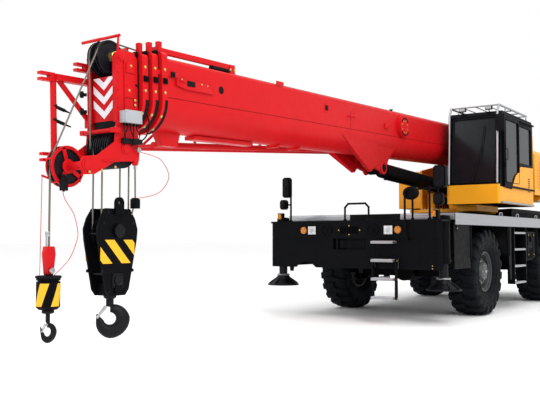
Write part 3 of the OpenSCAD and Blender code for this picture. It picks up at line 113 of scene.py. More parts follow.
# Mesh helpers
class Build:
    """Gathers shapes into one mesh, then makes it a piece that rides on a body."""

    def __init__(self):
        self.mesh = bmesh.new()

    def add(self, points, faces, bevel=0.0):
        verts = [self.mesh.verts.new(p) for p in points]
        made = [self.mesh.faces.new([verts[i] for i in f]) for f in faces]
        if bevel:
            edges = list(dict.fromkeys(e for f in made for e in f.edges))
            bmesh.ops.bevel(self.mesh, geom=edges, offset=bevel, segments=2, profile=0.6, affect="EDGES")
        return self

    def prism(self, outline, origin, u, v, depth, bevel=0.0):
        """An outline in the plane of u and v, given depth along their cross product."""
        w = Vector(u).cross(Vector(v)).normalized() * depth
        flat = [origin + u * a + v * b for a, b in outline]
        n = len(flat)
        faces = [list(range(n))[::-1], list(range(n, 2 * n))]
        faces += [(i, (i + 1) % n, n + (i + 1) % n, n + i) for i in range(n)]
        return self.add(flat + [p + w for p in flat], faces, bevel)

    def box(self, lo, hi, bevel=0.004):
        lo, hi = Vector(lo), Vector(hi)
        size = hi - lo
        return self.prism([(0, 0), (size.x, 0), (size.x, size.y), (0, size.y)], lo, X, Y, size.z, bevel)

    def block(self, centre, u, v, size, bevel=0.004):
        """A box about a centre, its first two sides along u and v."""
        a, b, c = (d / 2 for d in size)
        w = Vector(u).cross(Vector(v)).normalized()
        return self.prism([(-a, -b), (a, -b), (a, b), (-a, b)], centre - w * c, u, v, 2 * c, bevel)

    def tube(self, points, radius, sides=10):
        """A round bar through the points, its ends closed."""
        points = [Vector(p) for p in points]
        n = len(points)
        side = (points[1] - points[0]).orthogonal().normalized()
        verts, faces = [], []
        for i, p in enumerate(points):
            way = (points[min(i + 1, n - 1)] - points[max(i - 1, 0)]).normalized()
            side = (side - way * side.dot(way)).normalized()
            up = way.cross(side)
            for k in range(sides):
                a = 2 * pi * k / sides
                verts.append(p + (side * cos(a) + up * sin(a)) * radius)
        for i in range(n - 1):
            for k in range(sides):
                m = (k + 1) % sides
                faces.append((i * sides + k, i * sides + m, (i + 1) * sides + m, (i + 1) * sides + k))
        faces += [list(range(sides))[::-1], list(range((n - 1) * sides, n * sides))]
        return self.add(verts, faces)

    def lathe(self, profile, origin, axis, steps=32, ring=False):
        """A profile of radius and height, turned about an axis; with ring, the profile closes on itself."""
        axis = Vector(axis).normalized()
        side = axis.orthogonal().normalized()
        up = axis.cross(side)
        verts, faces, rows = [], [], []
        for r, h in profile:
            row = []
            for k in range(1 if r == 0 else steps):
                a = 2 * pi * k / steps
                row.append(len(verts))
                verts.append(Vector(origin) + axis * h + (side * cos(a) + up * sin(a)) * r)
            rows.append(row)
        for a, b in zip(rows, rows[1:] + rows[:1] if ring else rows[1:]):
            for k in range(steps):
                m = (k + 1) % steps
                quad = [a[k % len(a)], a[m % len(a)], b[m % len(b)], b[k % len(b)]]
                faces.append([v for i, v in enumerate(quad) if v not in quad[:i]])
        if not ring:
            faces += [row for row in (rows[0][::-1], rows[-1]) if len(row) > 1]
        return self.add(verts, faces)

    def bolt(self, place, normal, size=0.014, tall=0.01):
        """A six-sided head on a washer."""
        self.lathe([(size * 1.35, -0.001), (size * 1.35, tall * 0.25), (0, tall * 0.25)], place, normal, 16)
        return self.lathe([(size, 0), (size, tall * 0.85), (size * 0.82, tall), (0, tall)],
                          place, normal, 6)

    def round_bolts(self, centre, u, v, radius, count, normal, size, tall, start=0.0):
        """Bolts on a circle in the plane of u and v, the first at a start angle in degrees."""
        for k in range(count):
            a = radians(start + 360 * k / count)
            self.bolt(centre + u * (radius * cos(a)) + v * (radius * sin(a)), normal, size, tall)

    def handle(self, root, along, out, length):
        """A bent round handle that stands off a face."""
        bends = ((0, 0), (0, 0.035), (0.03, 0.045), (length - 0.03, 0.045), (length, 0.035), (length, 0))
        self.tube(smooth_path([root + along * a + out * b for a, b in bends], 4), 0.008, 8)

    def dome(self, place, normal, size=0.01):
        """A round rivet or screw head."""
        return self.lathe([(size, -0.001), (size * 0.9, size * 0.35), (size * 0.5, size * 0.6),
                           (0, size * 0.68)],
                          place, normal, 12)

    def done(self, name, material, body, smooth=40.0, slot=None):
        """Makes the piece; edges sharper than smooth, in degrees, stay sharp."""
        bmesh.ops.recalc_face_normals(self.mesh, faces=self.mesh.faces)
        data = bpy.data.meshes.new(name)
        self.mesh.to_mesh(data)
        self.mesh.free()
        data.shade_smooth()
        data.set_sharp_from_angle(angle=radians(smooth))
        piece = bpy.data.objects.new(name, data)
        scene.collection.objects.link(piece)
        data.materials.append(material)
        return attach(piece, body)


def arc(centre, u, v, radius, start, end, steps=12):
    """Points round a centre in the plane of u and v, angles in degrees."""
    turns = [radians(start + (end - start) * i / steps) for i in range(steps + 1)]
    return [centre + u * (radius * cos(a)) + v * (radius * sin(a)) for a in turns]


def clip(outline, axis, limit, sign):
    """The part of a flat convex outline where sign times the coordinate is below sign times the limit."""
    kept = []
    for p, q in zip(outline, outline[1:] + outline[:1]):
        dp, dq = sign * (limit - p[axis]), sign * (limit - q[axis])
        if dp >= 0:
            kept.append(p)
        if dp * dq < 0:
            t = dp / (dp - dq)
            kept.append((p[0] + (q[0] - p[0]) * t, p[1] + (q[1] - p[1]) * t))
    return kept


def smooth_path(points, steps=6):
    """A smooth curve through the points."""
    p = [Vector(q) for q in points]
    p = [p[0] * 2 - p[1]] + p + [p[-1] * 2 - p[-2]]
    out = []
    for a, b, c, d in zip(p, p[1:], p[2:], p[3:]):
        for i in range(steps):
            t = i / steps
            out.append((b * 2 + (c - a) * t + (a * 2 - b * 5 + c * 4 - d) * t * t
                        + (b * 3 - a - c * 3 + d) * t * t * t) / 2)
    return out + [p[-2]]


def rounded(a, b, c, steps=4):
    """A rectangle of half sides a and b with corners of radius c."""
    ring = []
    for cx, cy, start in ((a - c, b - c, 0), (-a + c, b - c, 90), (-a + c, -b + c, 180),
                          (a - c, -b + c, 270)):
        for k in range(steps + 1):
            t = radians(start + 90 * k / steps)
            ring.append((cx + c * cos(t), cy + c * sin(t)))
    return ring


def cap(wide, wall, top, tall, foot=0):
    """Profile of a round cap with a straight wall and a bevelled edge."""
    return [(wide, foot), (wide, wall), (top, tall), (0, tall)]


def cut_corners(a, b, c):
    """A rectangle of half sides a and b with its corners cut off by c."""
    return [(-a + c, -b), (a - c, -b), (a, -b + c), (a, b - c), (a - c, b), (-a + c, b),
            (-a, b - c), (-a, -b + c)]


# Camera, placed as the photograph was taken
def make_camera():
    data = bpy.data.cameras.new("camera")
    data.sensor_width = 36.0
    data.lens = 50.0
    camera = bpy.data.objects.new("camera", data)
    scene.collection.objects.link(camera)
    yaw = radians(35.33)
    pitch = radians(2.95)
    look = vec(-cos(yaw) * cos(pitch), -sin(yaw) * cos(pitch), sin(pitch))
    camera.location = at(12.71, 5.88, 1.31)
    camera.rotation_mode = "QUATERNION"
    camera.rotation_quaternion = look.to_track_quat("-Z", "Y")
    data.clip_start = 0.1
    data.clip_end = 400.0
    scene.camera = camera


make_camera()


# Material helpers
class Nodes:
    """A short way to write a material's node tree."""

    def __init__(self, name):
        self.mat = bpy.data.materials.new(name)
        self.mat.use_nodes = True
        self.tree = self.mat.node_tree
        self.shader = self.tree.nodes["Principled BSDF"]
        self.place = self.add("ShaderNodeTexCoord").outputs["Object"]

    def add(self, kind, **values):
        node = self.tree.nodes.new(kind)
        for key, value in values.items():
            setattr(node, key, value)
        return node

    def link(self, a, b):
        self.tree.links.new(a, b)

    def fill(self, node, **values):
        """Sets input values, an underscore in a key standing for a space."""
        for key, value in values.items():
            node.inputs[key.replace("_", " ")].default_value = value

    def set(self, **values):
        self.fill(self.shader, **values)

    def color(self, source):
        self.link(source, self.shader.inputs["Base Color"])

    def roughness(self, source):
        self.link(source, self.shader.inputs["Roughness"])

    def noise(self, scale, detail=4.0, rough=0.55, stretch=None):
        node = self.add("ShaderNodeTexNoise")
        self.fill(node, Scale=scale, Detail=detail, Roughness=rough)
        source = self.place
        if stretch:
            mapping = self.add("ShaderNodeMapping")
            self.fill(mapping, Scale=stretch)
            self.link(source, mapping.inputs["Vector"])
            source = mapping.outputs["Vector"]
        self.link(source, node.inputs["Vector"])
        return node.outputs["Fac"]

    def ramp(self, fac, stops):
        node = self.add("ShaderNodeValToRGB")
        band = node.color_ramp
        while len(band.elements) < len(stops):
            band.elements.new(0.5)
        for element, (pos, color) in zip(band.elements, stops):
            element.position = pos
            element.color = (*color, 1.0)
        self.link(fac, node.inputs["Fac"])
        return node.outputs["Color"]

    def spread(self, fac, low, high, start=0.3, end=0.7):
        node = self.add("ShaderNodeMapRange")
        self.fill(node, From_Min=start, From_Max=end, To_Min=low, To_Max=high)
        self.link(fac, node.inputs["Value"])
        return node.outputs["Result"]

    def mix(self, fac, a, b):
        node = self.add("ShaderNodeMix", data_type="RGBA")
        self.link(fac, node.inputs["Factor"])
        self.link(a, node.inputs["A"])
        self.link(b, node.inputs["B"])
        return node.outputs["Result"]

    def bump(self, fac, strength, distance):
        node = self.add("ShaderNodeBump")
        self.fill(node, Strength=strength, Distance=distance)
        self.link(fac, node.inputs["Height"])
        self.link(node.outputs["Normal"], self.shader.inputs["Normal"])


def shade(color, factor):
    return tuple(min(1.0, max(0.0, c * factor)) for c in color)


def painted(name, color, rough, gloss=0.3, dust=(0.3, 0.28, 0.25), worn=0.0, peel=0.02):
    """Paint with a slow change of shade, fine peel, and dust that thickens in patches."""
    m = Nodes(name)
    slow = m.noise(1.7, 5.0)
    tone = m.ramp(slow, [(0.3, shade(color, 0.95)), (0.52, color), (0.72, shade(color, 1.04))])
    grime = m.spread(m.noise(7.0, 8.0, 0.7), 0.0, worn, 0.5, 0.8)
    film = m.ramp(m.noise(23.0), [(0.3, dust), (0.7, shade(dust, 1.25))])
    m.color(m.mix(grime, tone, film))
    m.roughness(m.spread(m.noise(11.0, 6.0), rough - 0.07, rough + 0.09))
    m.set(Specular_IOR_Level=gloss)
    m.bump(m.noise(160.0, 3.0), peel, 0.004)
    return m.mat


def metal(name, color, rough, stretch, scale=60.0):
    """Bare metal with drawn streaks."""
    m = Nodes(name)
    streak = m.noise(scale, 4.0, 0.6, stretch)
    m.color(m.ramp(streak, [(0.3, shade(color, 0.78)), (0.7, shade(color, 1.12))]))
    m.roughness(m.spread(streak, rough - 0.08, rough + 0.1))
    m.set(Metallic=0.9)
    m.bump(streak, 0.06, 0.002)
    return m.mat


def rubber(name, color):
    m = Nodes(name)
    patch = m.noise(5.0, 6.0, 0.65)
    m.color(m.ramp(patch, [(0.3, shade(color, 0.7)), (0.55, color), (0.75, shade(color, 1.5))]))
    m.roughness(m.spread(m.noise(14.0), 0.55, 0.8))
    m.set(Specular_IOR_Level=0.08)
    m.bump(m.noise(220.0, 3.0), 0.12, 0.003)
    return m.mat


def glass(name, color, rough=0.08, clear=0.55, bend=1.45):
    m = Nodes(name)
    smear = m.noise(3.0, 5.0, 0.6)
    m.color(m.ramp(smear, [(0.35, shade(color, 0.8)), (0.7, shade(color, 1.2))]))
    m.roughness(m.spread(m.noise(9.0), rough - 0.05, rough + 0.05))
    m.set(Transmission_Weight=clear, IOR=bend)
    return m.mat


RED = painted("red_paint", (0.52, 0.005, 0.008), 0.4, gloss=0.12, worn=0.0)
YELLOW = painted("yellow_paint", (0.82, 0.34, 0.006), 0.42, gloss=0.25, worn=0.0)
BLACK = painted("black_paint", (0.002, 0.0022, 0.0032), 0.5, gloss=0.05, worn=0.003)
FRAME = painted("frame_paint", (0.0025, 0.0026, 0.0032), 0.55, gloss=0.05, worn=0.004)
DECK = painted("deck_paint", (0.006, 0.006, 0.007), 0.6, gloss=0.06, worn=0.02, peel=0.3)
GREY = painted("grey_paint", (0.34, 0.36, 0.38), 0.45, worn=0.1)
RIM = painted("rim_paint", (0.055, 0.056, 0.06), 0.45, worn=0.25)
ALLOY = metal("aluminium", (0.4, 0.41, 0.43), 0.36, (0.15, 4.0, 4.0))
STEEL = metal("bare_steel", (0.42, 0.42, 0.43), 0.3, (5.0, 5.0, 0.2))
IRON = metal("dark_iron", (0.16, 0.16, 0.165), 0.5, (1.0, 1.0, 1.0), 30.0)
ROPE = metal("wire_rope", (0.2, 0.175, 0.15), 0.55, (1.0, 1.0, 1.0), 120.0)
TYRE = rubber("tyre_rubber", (0.004, 0.0055, 0.0075))
# Black rubber; also the painted shade of the collar gaps, the boom's holes, the head recess and the cab's
# vent slots
RUBBER_AND_SHADE = rubber("black_rubber_and_shade", (0.007, 0.007, 0.008))
GLASS = glass("tinted_glass", (0.01, 0.013, 0.016), 0.16, 0.35, 1.25)
LENS = glass("clear_lens", (0.8, 0.82, 0.84))
SHEAVE = painted("sheave_paint", (0.006, 0.0065, 0.01), 0.4, gloss=0.16, worn=0.01)
SEAM = painted("seam_shade", (0.2, 0.003, 0.004), 0.5, gloss=0.05)
TRIM = painted("cab_trim", (0.0045, 0.0045, 0.006), 0.6, gloss=0.08, worn=0.004, peel=0.2)
WIRE = rubber("wire_sheath", (0.52, 0.018, 0.016))
BRASS = metal("plated_bolts", (0.62, 0.44, 0.16), 0.34, (1.0, 1.0, 1.0), 90.0)
WHITE = painted("white_stripe", (0.74, 0.75, 0.8), 0.4, worn=0.06)
STRIPE = painted("yellow_stripe", (0.82, 0.42, 0.01), 0.4, worn=0.08)
HOOK = metal("forged_hook", (0.014, 0.014, 0.016), 0.5, (1.0, 1.0, 1.0), 24.0)
AMBER = glass("amber_lens", (0.95, 0.33, 0.012))
REDLENS = glass("red_lens", (0.62, 0.012, 0.01))
MIRROR = metal("mirror_face", (0.72, 0.74, 0.76), 0.12, (0.4, 0.4, 0.4), 8.0)


def checker(name, color):
    """Tread plate: rows of slanted raised bars, worn bright on top."""
    m = Nodes(name)
    scale = m.add("ShaderNodeMapping")
    m.fill(scale, Rotation=(0.0, 0.0, radians(45)), Scale=(18.0, 46.0, 1.0))
    m.link(m.place, scale.inputs["Vector"])
    bars = m.add("ShaderNodeTexVoronoi", distance="CHEBYCHEV")
    m.fill(bars, Scale=1.0, Randomness=0.0)
    m.link(scale.outputs["Vector"], bars.inputs["Vector"])
    raised = m.spread(bars.outputs["Distance"], 1.0, 0.0, 0.22, 0.34)
    wear = m.ramp(m.noise(4.0, 6.0), [(0.3, shade(color, 0.72)), (0.7, shade(color, 1.12))])
    top = m.ramp(m.noise(30.0), [(0.3, shade(color, 1.1)), (0.7, shade(color, 1.4))])
    m.color(m.mix(raised, wear, top))
    m.roughness(m.spread(m.noise(12.0), 0.34, 0.55))
    m.set(Metallic=0.75)
    m.bump(raised, 0.5, 0.003)
    return m.mat


def fabric(name, color):
    """Woven seat cloth."""
    m = Nodes(name)
    weave = m.add("ShaderNodeTexWave", wave_type="BANDS", bands_direction="DIAGONAL")
    m.fill(weave, Scale=160.0, Distortion=2.0)
    m.link(m.place, weave.inputs["Vector"])
    m.color(m.ramp(weave.outputs["Fac"], [(0.2, shade(color, 0.7)), (0.8, shade(color, 1.3))]))
    m.roughness(m.spread(m.noise(40.0), 0.8, 0.95))
    m.bump(weave.outputs["Fac"], 0.25, 0.001)
    return m.mat


def lamp_glass(name, clear, amber):
    """Lens that is clear near the middle of the crane and amber further out."""
    m = Nodes(name)
    parts = m.add("ShaderNodeSeparateXYZ")
    m.link(m.place, parts.inputs["Vector"])
    wide = m.add("ShaderNodeMath", operation="ABSOLUTE")
    m.link(parts.outputs["Y"], wide.inputs[0])
    outer = m.spread(wide.outputs["Value"], 0.0, 1.0, 0.775, 0.785)
    smear = m.noise(40.0)
    white = m.ramp(smear, [(0.3, shade(clear, 0.75)), (0.7, clear)])
    warm = m.ramp(smear, [(0.3, shade(amber, 0.8)), (0.7, amber)])
    m.color(m.mix(outer, white, warm))
    m.roughness(m.spread(m.noise(60.0), 0.08, 0.2))
    m.set(Transmission_Weight=0.25, IOR=1.45)
    m.bump(m.noise(90.0, 2.0), 0.2, 0.002)
    return m.mat


CHECKER = checker("tread_plate", (0.17, 0.185, 0.22))
FABRIC = fabric("seat_cloth", (0.045, 0.047, 0.052))
LAMPS = lamp_glass("lamp_lens", (0.82, 0.84, 0.86), (0.95, 0.36, 0.02))

FINISH = {
    RED: "boom_base stowed_jib tele_1 tele_2 tele_3 boom_head jib_adapter",
    YELLOW: "turntable counterweight side_housing cab_panels",
    BLACK: "front_box rear_box cab_shell cab_door rails_and_mirrors lift_barrel hook_block aux_weight",
    FRAME: "chassis_frame front_axle rear_axle knuckle_fl knuckle_fr knuckle_rl knuckle_rr side_tanks"
    " beam_fl beam_fr beam_rl beam_rr engine_hood",
    DECK: "main_deck",
    ALLOY: "deck_trim cab_guard",
    LAMPS: "lamps",
    IRON: "engine_block driveline winches main_hook aux_hook",
    TYRE: "tyre_fl tyre_fr tyre_rl tyre_rr",
    RIM: "rim_fl rim_fr rim_rl rim_rr",
    SHEAVE: "head_sheaves",
    HOOK: "jack_fl jack_fr jack_rl jack_rr",
    STEEL: "lift_rod",
    ROPE: "main_falls",
    GLASS: "cab_glass door_glass",
    TRIM: "cab_fittings",
}
for material, names in FINISH.items():
    for name in names.split():
        mesh = nodes[name].data
        mesh.materials.clear()
        mesh.materials.append(material)


# Cords that hang free: the thin red wires of the hoist stops
def hang(name, points, diameter, body):
    """A wire through the points, as a curve of one open spline."""
    path = smooth_path(points, max(2, round(28 / (len(points) - 1))))
    curve = bpy.data.curves.new(name, "CURVE")
    curve.dimensions = "3D"
    curve.bevel_depth = diameter / 2
    curve.bevel_resolution = 3
    curve.use_fill_caps = True
    line = curve.splines.new("POLY")
    line.points.add(len(path) - 1)
    for spot, p in zip(line.points, path):
        spot.co = (*p, 1.0)
    curve.materials.append(WIRE)
    piece = bpy.data.objects.new(name, curve)
    scene.collection.objects.link(piece)
    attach(piece, body)


def make_wires():
    hang("stop_wire_main", [
        at(7.12, 0.235, 2.22), at(6.98, 0.37, 2.16), at(6.9, 0.41, 2.07), at(6.87, 0.428, 1.965),
        at(6.91, 0.418, 1.868), at(6.97, 0.38, 1.792), at(7.03, 0.303, 1.755), at(7.11, 0.19, 1.73),
    ], 0.007, "main_block")
    hang("stop_wire_small", [
        at(7.968, -0.052, 0.952), at(7.948, -0.01, 0.995), at(7.91, 0.11, 1.12), at(7.89, 0.18, 1.279),
        at(7.883, 0.19, 1.378), at(7.894, 0.14, 1.55), at(7.91, 0.03, 1.69), at(7.9, -0.018, 1.775),
                             at(7.89, -0.054, 1.84),
    ], 0.007, "aux_weight")


make_wires()


# Boom: outline of a section, grown by g
def outline(i, g, steps=18):
    w, h = WIDTHS[i] / 2 + g, HEIGHTS[i] + 2 * g
    low, rc = FLOORS[i] - g, 0.05
    ring = [(w * cos(a), low + w + w * sin(a))
            for a in (pi + pi * k / steps for k in range(steps + 1))]
    for k in range(7):
        a = pi / 2 * k / 6
        ring.append((w - rc + rc * cos(a), low + h - rc + rc * sin(a)))
    for k in range(7):
        a = pi / 2 + pi / 2 * k / 6
        ring.append((-w + rc + rc * cos(a), low + h - rc + rc * sin(a)))
    return ring


def boom_collars():
    for i, body in enumerate(BOOM_BODIES[:3]):
        front, back = ENDS[i], ENDS[i] - 0.085
        # Black ring in the mouth of each collar: painted shade that darkens the gap to the next collar, in
        # wear-strip rubber
        pads_and_gap_shade = Build()
        reach = 0.028 if i < 2 else 0.014
        inner, outer = outline(i + 1, 0.004), outline(i + 1, 0.026)
        n = len(inner)
        verts = [boom(front + d, *p) for d in (0.0005, reach) for ring in (inner, outer) for p in ring]
        faces = []
        for k in range(n):
            m = (k + 1) % n
            faces += [(k, m, n + m, n + k), (2 * n + k, 3 * n + k, 3 * n + m, 2 * n + m)]
            faces += [(k, 2 * n + k, 2 * n + m, m), (n + k, n + m, 3 * n + m, 3 * n + k)]
        pads_and_gap_shade.add(verts, faces)
        # Curved strips under the collar
        ring = outline(i, 0.046)
        for first, last in ((0, 8), (10, 18)):
            for k in range(first, last):
                near = [boom(back + d, ring[j][0] * g,
                             (ring[j][1] - FLOORS[i] - WIDTHS[i] / 2) * g + FLOORS[i] + WIDTHS[i] / 2)
                        for d in (0.004, 0.042) for g in (0.998, 1.012) for j in (k, k + 1)]
                pads_and_gap_shade.add(near, [(0, 1, 3, 2), (4, 6, 7, 5), (2, 3, 7, 6), (0, 4, 5, 1),
                                (0, 2, 6, 4), (1, 5, 7, 3)])
        # The piece joins the curved wear strips and the mouth ring of painted shade
        pads_and_gap_shade.done(f"wear_strips_and_gap_shade_{i}", RUBBER_AND_SHADE, body, 30, slot="tyre_rubber")
        # Bolts round the collar
        bolts = Build()
        ring = outline(i, 0.045)
        for k in (3, 6, 12, 15):
            y, z = ring[k]
            centre = FLOORS[i] + WIDTHS[i] / 2
            bolts.bolt(boom(front - 0.022, y, z), Y * y + RISE * (z - centre), 0.013, 0.011)
        for side in SIDES:
            for z in (0.14, 0.39):
                bolts.bolt(boom((front + back) / 2, side * (WIDTHS[i] / 2 + 0.045), z),
                           Y * side, 0.013, 0.011)
        bolts.done(f"collar_bolts_{i}", BRASS, body, 30)
        # Black stop blocks on the sides and rollers on top
        blocks = Build()
        for side in SIDES:
            y = side * (WIDTHS[i] / 2 + 0.045)
            blocks.block(boom((front + back) / 2, y + side * 0.009, 0.265), ALONG, RISE,
                         (0.062, 0.062, 0.018), 0.005)
            blocks.lathe(cap(0.016, 0.008, 0.01, 0.01),
                         boom((front + back) / 2, y + side * 0.017, 0.265), Y * side, 16)
            y = side * (WIDTHS[i] / 2 - 0.045)
            blocks.lathe([(0, -0.032), (0.03, -0.032), (0.034, -0.026), (0.034, 0.026),
                          (0.03, 0.032), (0, 0.032)],
                         boom(front + 0.022, y, HEIGHTS[i] + FLOORS[i] + 0.028), Y, 24)
        blocks.done(f"collar_stops_{i}", BLACK, body, 30)


def boom_side():
    """Weld seams, openings shown by painted shade, and small fittings on the base section."""
    seams = Build()
    for side in SIDES:
        seams.tube([boom(s, side * 0.2995, 0.105) for s in (0.2, 3.0, 6.0, 9.0, 9.85)], 0.0042, 6)
        seams.tube([boom(5.75, side * 0.2995, z) for z in (0.11, 0.25, 0.38)], 0.0035, 6)
    seams.done("boom_seams", SEAM, "boom")
    gussets = Build()
    for side in SIDES:
        edge = [(2.969, 0.302, 2.873), (1.848, 0.302, 2.978), (1.6, 0.215, 2.57), (1.83, 0.18, 2.4),
                (2.4, 0.24, 2.654)]
        depth = (0.05, 0.05, 0.08, 0.06, 0.08)
        outer = [at(x, side * y, z) for x, y, z in edge]
        inner = [at(x, side * (y - d), z) for (x, y, z), d in zip(edge, depth)]
        walls = [(k, (k + 1) % 5, 5 + (k + 1) % 5, 5 + k) for k in range(5)]
        gussets.add(outer + inner, [(0, 1, 2), (0, 2, 3), (0, 3, 4), (5, 7, 6), (5, 8, 7),
                                    (5, 9, 8)] + walls)
    gussets.done("lug_gussets", RED, "boom", 10)
    dark = Build()
    for side in SIDES:
        # Round hole, square hole and the pocket's mouth: rims round dark floors, the floors being painted
        # shade of the openings
        hole = at(5.84, side * 0.3, 3.07)
        dark.lathe([(0.04, -0.004), (0.047, 0.0015), (0.043, 0.004), (0.038, 0.0012), (0, 0.001)],
                   hole, Y * side, 32)
        dark.block(at(3.42, side * 0.3005, 3.206), ALONG, RISE, (0.075, 0.075, 0.003), 0.001)
        dark.block(at(6.405, side * 0.327, 3.045), ALONG, RISE, (0.135, 0.062, 0.004), 0.0015)
    dark.done("boom_opening_shade", RUBBER_AND_SHADE, "boom", 30)
    rims = Build()
    for side in SIDES:
        hole, wide = at(3.42, side * 0.301, 3.206), 0.105
        for k in (1, -1):
            rims.block(hole + ALONG * (k * wide / 2), ALONG, RISE, (0.014, wide + 0.014, 0.01), 0.003)
            rims.block(hole + RISE * (k * wide / 2), ALONG, RISE, (wide, 0.014, 0.01), 0.003)
        # Pocket for the jib's pin: a wedge standing off the side
        y = side * 0.298
        low = at(6.3, y, 3.035)
        wedge = [(-0.3, -0.06), (0.2, -0.055), (0.34, -0.03), (0.34, 0.045), (0.16, 0.055), (-0.18, 0.05)]
        rims.prism(wedge, low, ALONG, RISE, -0.026 * side, 0.006)
        rims.tube([at(6.5, side * 0.325, 3.052), at(6.6, side * 0.33, 3.056)], 0.012, 12)
        # Bar that carries the stop blocks behind the collar
        rims.block(at(6.77, side * 0.304, 3.1), ALONG, RISE, (0.34, 0.05, 0.02), 0.004)
        # Lifting handle, hand pad and top pin
        grip = ((2.62, 0.3, 3.176), (2.62, 0.335, 3.177), (2.66, 0.35, 3.177),
                (2.74, 0.35, 3.173), (2.78, 0.335, 3.172), (2.78, 0.3, 3.171))
        rims.tube(smooth_path([at(x, side * y, z) for x, y, z in grip], 4), 0.009, 8)
        rims.block(at(1.51, side * 0.31, 3.172), ALONG, RISE, (0.12, 0.09, 0.03), 0.006)
        rims.block(at(4.62, side * 0.306, 3.36), ALONG, RISE, (0.16, 0.05, 0.016), 0.005)
    rims.done("boom_fittings", RED, "boom", 30)
    pins = Build()
    for side in SIDES:
        pins.block(at(6.7, side * 0.322, 3.1), ALONG, RISE, (0.06, 0.06, 0.02), 0.005)
        pins.lathe(cap(0.014, 0.012, 0.01, 0.016), at(6.7, side * 0.331, 3.1), Y * side, 16)
        # Arcs on the reel cover
        for start in (35, 215):
            bend = arc(boom(REEL[0], side * 0.372, REEL[1]), ALONG, RISE, 0.145, start, start + 110, 14)
            for a, b in zip(bend, bend[1:]):
                pins.tube([a, b], 0.011, 8)
    pins.lathe([(0.022, 0), (0.022, 0.06), (0.03, 0.062), (0.03, 0.08), (0, 0.085)],
               boom(3.98, 0.12, 0.53), RISE, 20)
    pins.block(boom(8.75, 0.178, 0.585), ALONG, Y, (0.34, 0.075, 0.04), 0.01)
    pins.done("boom_pads", RUBBER_AND_SHADE, "boom", 30)
    bolts = Build()
    for side in SIDES:
        reel = boom(REEL[0], side * 0.37, REEL[1])
        bolts.round_bolts(reel, ALONG, RISE, 0.105, 8, Y * side, 0.01, 0.008, 22)
        for s in (8.51, 8.59, 9.83, 9.87):
            bolts.bolt(boom(s, 0.178 + side * 0.0375, 0.6), Y * side, 0.012, 0.01)
        for x in (6.12, 6.22, 6.56):
            bolts.dome(at(x, side * 0.325, 3.07), Y * side, 0.011)
    bolts.done("boom_bolts", BRASS, "boom", 30)
    # Tongue, hanger and hose tray under the boom
    tray = Build()
    tray.block(boom(8.55, 0.0, -0.262), ALONG, Y, (1.15, 0.16, 0.05), 0.008)
    tray.prism([(-0.16, 0.03), (-0.11, -0.13), (0.13, -0.13), (0.22, 0.03)], boom(9.5, 0.05, -0.262),
               ALONG, RISE, 0.1, 0.008)
    for s in (6.9, 7.4):
        tray.block(boom(s, 0.0, -0.25), ALONG, Y, (0.06, 0.2, 0.04), 0.006)
    tray.done("boom_tray", RED, "boom", 30)


boom_collars()
boom_side()


# Boom head
def head_stripes():
    """White chevrons on the red plate between the cheeks."""
    white = Build()
    half, low, high = 0.158, -0.186, 0.268
    for k in range(4):
        foot = -0.165 + 0.15 * k
        for side in SIDES:
            arm = [(0, foot), (side * half, foot + 0.83 * half), (side * half, foot + 0.83 * half + 0.078),
                   (0, foot + 0.078)]
            arm = clip(clip(arm, 1, high, 1), 1, low, -1)
            if len(arm) > 2:
                white.prism(arm, boom(HEAD + 0.2662, 0, 0), Y, RISE, 0.0015)
    white.done("head_chevrons", WHITE, "section_3")
    # Black plate under the chevrons: painted shade standing for a recess
    dark = Build()
    dark.block(boom(HEAD + 0.262, 0, -0.245), Y, RISE, (0.3, 0.115, 0.004), 0.001)
    dark.done("head_recess_shade", RUBBER_AND_SHADE, "section_3")


def head_ropes():
    ropes = Build()
    reach = 0.169

    def lead(y):
        """A rope along the boom's top as far as the top sheave."""
        return [boom(7.2, y, ROPE_Z), boom(9.8, y, ROPE_Z), boom(9.88, y, ROPE_Z + 0.005),
                boom(TOP_SHEAVE[0] - 0.025, y, TOP_SHEAVE[1] + reach - 0.002)]

    def wrap(sheave, y, radius, first, last, steps):
        """The part of a rope that lies on a sheave."""
        return arc(boom(sheave[0], y, sheave[1]), ALONG, RISE, radius, first, last, steps)

    # Main rope over the far top sheave and down to the lower sheaves
    ropes.tube(lead(-0.06) + wrap(TOP_SHEAVE, -0.06, reach, 80, 0, 9)
               + [boom(LOW_SHEAVE[0] + 0.19, -0.1, LOW_SHEAVE[1])], 0.009, 10)
    # Second rope over the near top sheave and across to the small sheave
    ropes.tube(lead(0.056) + wrap(TOP_SHEAVE, 0.056, reach, 80, 22, 7)
               + wrap(SMALL_SHEAVE, -0.1, 0.19, 22, 0, 3), 0.009, 10)
    ropes.done("head_ropes", ROPE, "section_3")
    for i, body in enumerate(BOOM_BODIES[:3]):
        run = Build()
        for y in (-0.06, 0.056):
            run.tube([boom(0.05 + 0.6 * i, y, ROPE_Z), boom(ENDS[i] - 0.2, y, ROPE_Z)], 0.0088, 10)
        run.done(f"rope_run_{i}", ROPE, body)
    guide = Build()
    for y in (-0.16, 0.15):
        guide.prism([(-0.1, -0.02), (0.18, -0.02), (0.1, 0.12), (-0.02, 0.12)], boom(0.02, y, 0.535),
                    ALONG, RISE, -0.016, 0.004)
    guide.done("rope_guide", RED, "boom")
    roller = Build()
    roller.lathe([(0, -0.155), (0.035, -0.155), (0.045, -0.145), (0.045, 0.142),
                  (0.035, 0.152), (0, 0.152)],
                 boom(0.06, 0, 0.544), Y, 28)
    roller.done("rope_roller", STEEL, "boom")


